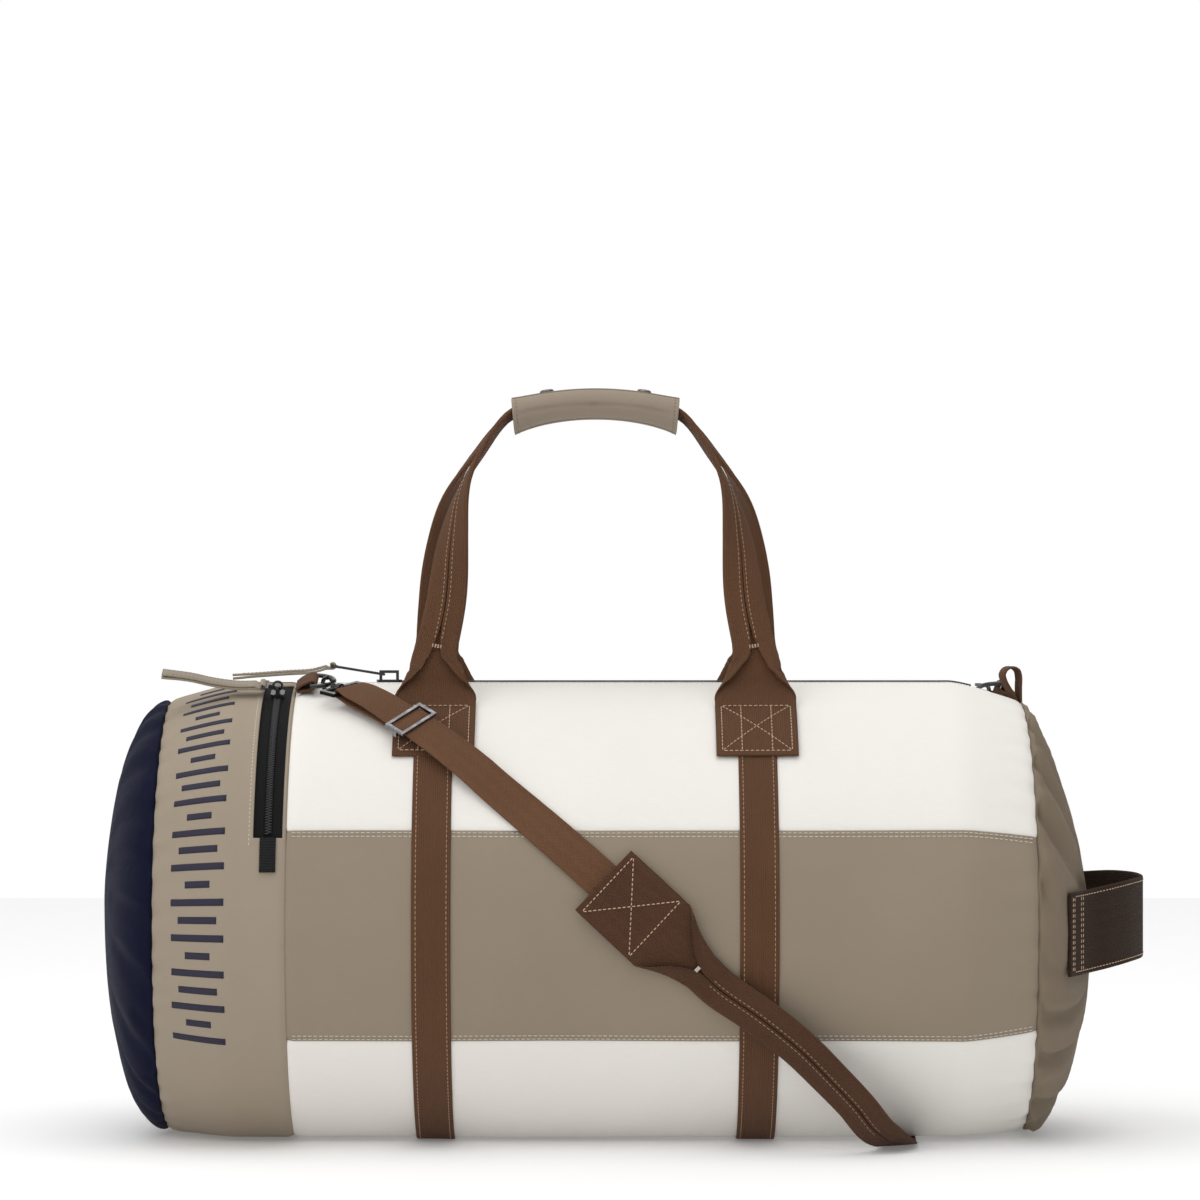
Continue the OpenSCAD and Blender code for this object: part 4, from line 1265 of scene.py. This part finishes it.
def ring_tab(name, turn, reach, slope):
    """Webbing from the seam, round the straight bar of the ring and back to the seam."""
    origin = joint_place(f"{name}_ring_swing")
    axes = surface_axes(origin, turn)
    slope = math.radians(slope)
    away = np.array([-math.cos(slope), -math.sin(slope)])
    over = np.array([away[1], -away[0]])
    r = 2.55 * MM
    path = [away * reach - over * 0.9 * MM, away * reach * 0.6 - over * 1.6 * MM, away * 3.2 * MM - over * r]
    for turned in np.radians(np.linspace(-90, 90, 7)):
        path.append(over * math.sin(turned) * r - away * math.cos(turned) * r)
    path += [away * 3.4 * MM + over * r, away * reach * 0.6 + over * 2.3 * MM, away * reach + over * 1.0 * MM]
    path = spline(path, 4)
    points = origin + path[:, :1] * axes[0] + path[:, 1:] * axes[2]
    edge_on(f"{name}_tab_webbing", points, axes[1], 11.6 * MM, "brown", [f"{name}_ring_tab"])


def strap_place(s, lift):
    """A place on the slanting strap, in millimetres along it from the left hook and off the bag."""
    x = LEFT_BAR[0] + s * math.cos(STRAP_SLANT) * MM
    climb = -s * math.sin(STRAP_SLANT) * MM
    rise = math.degrees(math.atan2(LEFT_BAR[2] - AXIS_Z, -LEFT_BAR[1]) + climb / STRAP_TURN_R)
    return [x, rise, lift * MM]


def hook_bar(name, turn):
    ring = joint_place(f"{name}_ring_swing")
    axes = surface_axes(ring, turn)
    return ring + axes[0] * BAR_DISTANCE, axes


LEFT_BAR, LEFT_AXES = hook_bar("left", -43)
RIGHT_BAR, RIGHT_AXES = hook_bar("right", 130)


def round_bar(bar, axes, start, stop):
    """Rows [x, y, z, nx, ny, nz] of webbing that turns round a hook's bar."""
    rows = []
    for turned in np.radians(np.linspace(start, stop, 7)):
        out = axes[0] * math.cos(turned) + axes[2] * math.sin(turned)
        rows.append([*(bar + out * LOOP_R), *out])
    return rows


def skin_rows(rows, facing=1):
    points, normals = on_skin(rows)
    return [[*p, *(n * facing)] for p, n in zip(points, normals)]


def shoulder_strap():
    under = ((43, 5.3), (34, 5.2), (25, 5.2), (15, 5.3), (8, 5.6))
    over = ((8, 10.6), (16, 10.4), (25, 10.0), (36, 9.0), (44, 8.1), (50, 8.5), (56, 9.2), (62, 8.5),
            (68, 8.0), (80, 7.6), (98, 6.6), (115, 5.4), (130, 3.2), (150, 1.9), (180, 1.7), (215, 1.9),
            (245, 2.3), (272, 2.4))
    lower = skin_rows([strap_place(*station) for station in under], facing=-1)
    upper = skin_rows([strap_place(*station) for station in over])
    rows = spline(lower + round_bar(LEFT_BAR, LEFT_AXES, 265, 95) + upper, 5)
    points, ups = rows[:, :3], unit(rows[:, 3:])
    strap("shoulder_strap_webbing", points, ups, WEB_W / 2, "strap", ["strap_webbing"], columns=13)


# The wide strap in millimetres and radians: [fold line, fold angle, drop, layer thickness] along its route
FLAT = [28, 0.0, 0.0, 1.5]
FOLDED = [13.1, 3.06, 1.1, 1.5]
PRESSED = [12.9, 3.1, 0.4, 0.55]
THINNER = [12.7, 3.1, 0.7, 0.9]
WIDE_START = 227
WIDE_HALF_W = 26


def wide_strap():
    def place(s, lift, *shape):
        return [*skin_rows([strap_place(s, lift)])[0], *shape]

    def free(x, y, z, *shape):
        out = unit([0, y, z - AXIS_Z / MM])
        return [x * MM, y * MM, z * MM, *out, *shape]

    rows = [place(s, 4.6, *FLAT) for s in (WIDE_START, 236, 246, 256, 266, 273, 275)]
    folding = ((278, 4.6, 25.4, 0.9, 0.1), (284, 4.7, 22.8, 1.8, 0.3), (291, 4.8, 19.6, 2.45, 0.6),
               (298, 4.9, 16.8, 2.8, 0.9), (306, 5.0, 14.6, 3.0, 1.1))
    rows += [place(*station, 1.5) for station in folding]
    rows += [place(s, 5.0, *FOLDED) for s in (315, 331)]
    rows += [free(x, y, z, *FOLDED) for x, y, z in ((104, -158, 90), (129, -155.5, 70), (150, -150, 49),
                                                    (166, -144, 32), (177, -138, 18))]
    rows.append(free(186, -129, 10, 13.1, 3.08, 0.8, 1.0))
    rows += [free(x, y, z, *PRESSED) for x, y, z in ((193, -112, 5), (196, -92, 2.2), (197, -56, 1.2),
                                                     (203, 56, 0.8))]
    back = ((204.3, 245, 1.6), (205, 236, 2.6), (206, 218, 2.6), (207, 198, 2.6), (208, 178, 2.6),
            (210, 160, 2.6), (212, 145, 3.0), (216, 133, 5), (223, 124.6, 7.9), (232.8, 120.8, 8.7))
    for x, rise, lift in back:
        rows.append([*skin_rows([[x * MM, rise, lift * MM]])[0], *(PRESSED if rise > 240 else THINNER)])
    rows += [[*row, *THINNER] for row in round_bar(RIGHT_BAR, RIGHT_AXES, 80, 262)]
    for distance, low in ((6, 2.7), (13, 3.1), (20, 3.5)):
        point = RIGHT_BAR + RIGHT_AXES[0] * distance * MM - RIGHT_AXES[2] * low * MM
        rows.append([*point, *-RIGHT_AXES[2], *THINNER])
    rows = spline(rows, 6)
    points, ups = rows[:, :3], unit(rows[:, 3:6])
    fold, angle, drop, thick = rows[:, 6] * MM, np.clip(rows[:, 7], 0, 3.1), rows[:, 8] * MM, rows[:, 9] * MM
    half_w = np.minimum(WIDE_HALF_W * MM, 2 * fold - 0.1 * MM)
    made, across, up = folded_webbing("wide_strap_webbing", points, ups, fold, angle, drop, half_w, thick,
                                      "strap_wide", "bag", replaces=["strap_wide_webbing"])
    run = lengths(points)
    sewn = (run > 92 * MM) & (points[:, 2] > 14 * MM) & (points[:, 1] < 0)
    face = (thick * 0.5 + 0.75 * 2 * thick - drop)[sewn, None]
    rows = [stitch_row(points[sewn] + up[sewn] * (face + 0.1 * MM) + across[sewn] * offset * MM, up[sewn],
                       pitch=3.2 * MM, radius=0.3 * MM) for offset in (-2.2, 2.2)]
    stitching("wide_strap_seam_stitches", rows, "strap_thread", "bag")

    def row(a, b, lift, gap=0.0):
        """Stitches on the webbing itself, between two places [along the strap, across it]."""
        t = np.linspace(0, 1, 14)
        at, side = ((a[k] + (b[k] - a[k]) * t) * MM for k in (0, 1))
        centre, cross, out = (sampled(at - WIDE_START * MM, run, each) for each in (points, across, up))
        line = centre + cross * side[:, None] + out * lift * MM
        return stitch_row(line, out, pitch=3.1 * MM, radius=0.36 * MM, gap=gap * MM)

    corners = ((231, -24), (231, 24), (272, 24), (272, -24))
    box_rows = [row(corners[a], corners[b], 0.85, 0.5) for a, b in ((0, 1), (3, 2), (0, 2), (3, 1))]
    stitching("wide_strap_box_stitches", box_rows, "tan_thread", "bag")
    tacks = [row((309 + step, -3), (309 + step, 3), 2.3) for step in (-0.8, 0.0, 0.8)]
    stitching("wide_strap_tack", tacks, "pale_thread", "bag")


def end_handle():
    """A wide strap that stands off the right end in a bow, sewn down at both ends by double rows."""
    side = [(303.4, -127.5), (308.4, -117.5), (314.2, -105), (322, -92), (336, -76), (350, -55), (360, -28)]
    plan = side + [(363, 0)] + [(x, -y) for x, y in side[::-1]]
    points = spline([(x * MM, y * MM, (139.5 + 5 * smoothstep((x - 310) / 50)) * MM) for x, y in plan], 8)
    sides = np.broadcast_to([0.0, 0.0, 1.0], points.shape)
    ups = unit(np.cross(tangents(points), sides))
    strap("end_handle_webbing", points, ups, 27 * MM, "dark", ["end_handle"], thick=2.2 * MM, columns=17)
    rows = []
    for offset in (-24.2, 24.2):
        line = points + sides * offset * MM + ups * 1.15 * MM
        rows.append(stitch_row(line[6:-6], ups[6:-6], pitch=3.4 * MM, radius=0.32 * MM))
    run = lengths(points)
    for distance in (3.5, 7.0, 20.0, 23.5):
        for place in (distance * MM, run[-1] - distance * MM):
            at = int(np.argmin(np.abs(run - place)))
            ends = [points[at] + ups[at] * 1.15 * MM + sides[at] * reach * MM for reach in (-24, 24)]
            rows.append(line_row(ends, ups[at], pitch=3.2 * MM, radius=0.34 * MM))
    stitching("end_handle_stitches", rows, "tan_thread", "bag")


def end_loop():
    lo, hi = box("end_loop")
    lean, turn = math.radians(14.6), math.radians(14)
    centre = np.array([lo[0] + 6.5 * MM, 0, hi[2] - 6.5 * MM])
    half = [(0.9, -19.5), (1.9, -15), (3.6, -8.5), (5.2, -3)]
    round_top = [(5.7 * math.sin(a), 5.7 * math.cos(a)) for a in np.radians([-75, -50, -25, 0, 25, 50, 75])]
    path = [(-x, z) for x, z in half] + round_top + half[::-1]
    x, z = spline(path, 4).T * MM
    out, up = x * math.cos(lean) - z * math.sin(lean), x * math.sin(lean) + z * math.cos(lean)
    points = centre + np.stack([out * math.cos(turn), out * math.sin(turn), up], -1)
    across = [-math.sin(turn), math.cos(turn), 0.0]
    edge_on("end_loop_webbing", points, across, 6.2 * MM, "brown", ["end_loop"], columns=5)


# ---------------------------------------------------------------- inside, print and metal


def inside():
    """The lining and the pocket's bag, just under the outer cloth."""
    u = np.concatenate([np.linspace(0.05, 0.95, 9), np.linspace(1, 2, 48), np.linspace(2.05, 2.95, 9)])
    rise = np.linspace(-90, 270, 91)

    def keep(at_u, at_v):
        zip_gap = (at_u > U_SLOT[0]) & (at_u < U_SLOT[1]) & (np.abs(at_v - 90) < SLOT_HALF)
        window = (at_u > U_POCKET[0]) & (at_u < U_POCKET[1]) & (at_v > POCKET_LOW) & (at_v < POCKET_HIGH)
        return ~(zip_gap | window)

    def lift(at_u, at_v):
        return np.where((at_u < 1) | (at_u > 2), -10, -3.6) * MM

    shell("lining_shell", u, rise, "lining", lift, keep, thickness=0.6 * MM, replaces=["lining"])
    low, high = float(u_at(-SEAM_X + 13 * MM)), float(u_at(CUFF_X - 2 * MM))
    loops = []
    for at in np.linspace(13, 85, 30):
        front = np.linspace(low, high, 12)
        deep = np.concatenate([np.full(12, -5.2), np.full(12, -11.0)]) * MM
        across = np.concatenate([front, front[::-1]])
        loops.append(skin.at(across, np.full(24, at), deep))
    loops = np.array(loops)
    sweep("pocket_lining_bag", loops, "lining", "bag", loops[..., :2], ["pocket_lining"])


def printed_bars():
    """A plain ladder of bars printed on the cuff, long and short by turns."""
    low_x, high_x = -270 * MM, -236 * MM
    points, faces, uvs = [], [], []
    for index, centre in enumerate(np.arange(-28.0, 80.1, 4.32)):
        inset = (0.0, 9.0, 0.0, 4.5)[index % 4] * MM
        u = u_at(np.linspace(low_x + inset, high_x - inset, 12))
        half = math.degrees(2.3 * MM / BAG_R)
        rise = np.linspace(centre - half, centre + half, 4)
        grid_u, grid_v = np.meshgrid(u, rise, indexing="ij")
        placed = skin.at(grid_u, grid_v, np.full_like(grid_u, 0.16 * MM)).reshape(-1, 3)
        faces.append(grid_faces(12, 4) + sum(len(p) for p in points))
        points.append(placed)
        uvs.append(flat_uv(grid_u, grid_v))
    made = finish_mesh("printed_bars", np.vstack(points), np.vstack(faces), "ink", "bag", uv=np.vstack(uvs))
    thicken(made, 0.14 * MM)


# Material and width of the rounded edges in millimetres of each metal part
METAL = {
    "main_zip_stops": ("gunmetal", 0.5), "main_zip_slider": ("black_metal", 0.45),
    "main_zip_pull": ("black_metal", 0.35), "pocket_zip_slider": ("black_metal", 0.4),
    "pocket_zip_pull": ("black_metal", 0.3), "strap_tri_glide": ("gunmetal", 0.7),
    "snap_caps": ("gunmetal", 0.25), "snap_studs": ("gunmetal", 0.25),
}
for side_name in ("left", "right"):
    for part_name, edge_width in (("d_ring", 0.2), ("hook", 0.2), ("hook_gate", 0.3), ("hook_eye", 0.5)):
        METAL[f"{side_name}_{part_name}"] = ("black_metal", edge_width)


def metal_parts():
    for name, (material, width) in METAL.items():
        part = frame["nodes"][name]
        for slot in part.material_slots:
            slot.material = MATERIALS[material]
        rounding = part.modifiers.new("rounded_edges", "BEVEL")
        rounding.width = width * MM
        rounding.segments = 2
        rounding.limit_method = "ANGLE"
        rounding.angle_limit = math.radians(40)


# ---------------------------------------------------------------- the bag, put together

skin = stuffed(Skin(skin_lines(), 180))
make_camera()
make_stage()
body_panels()
inside()
printed_bars()
girth_straps()
band_stitches()
handle("front", -1, 0)
handle("back", 1, 9)
grip()
main_zip()
pocket_zip()
pullers()
ring_tab("left", 0, 11 * MM, 22)
ring_tab("right", 180, 15 * MM, 43)
shoulder_strap()
wide_strap()
end_handle()
end_loop()
metal_parts()
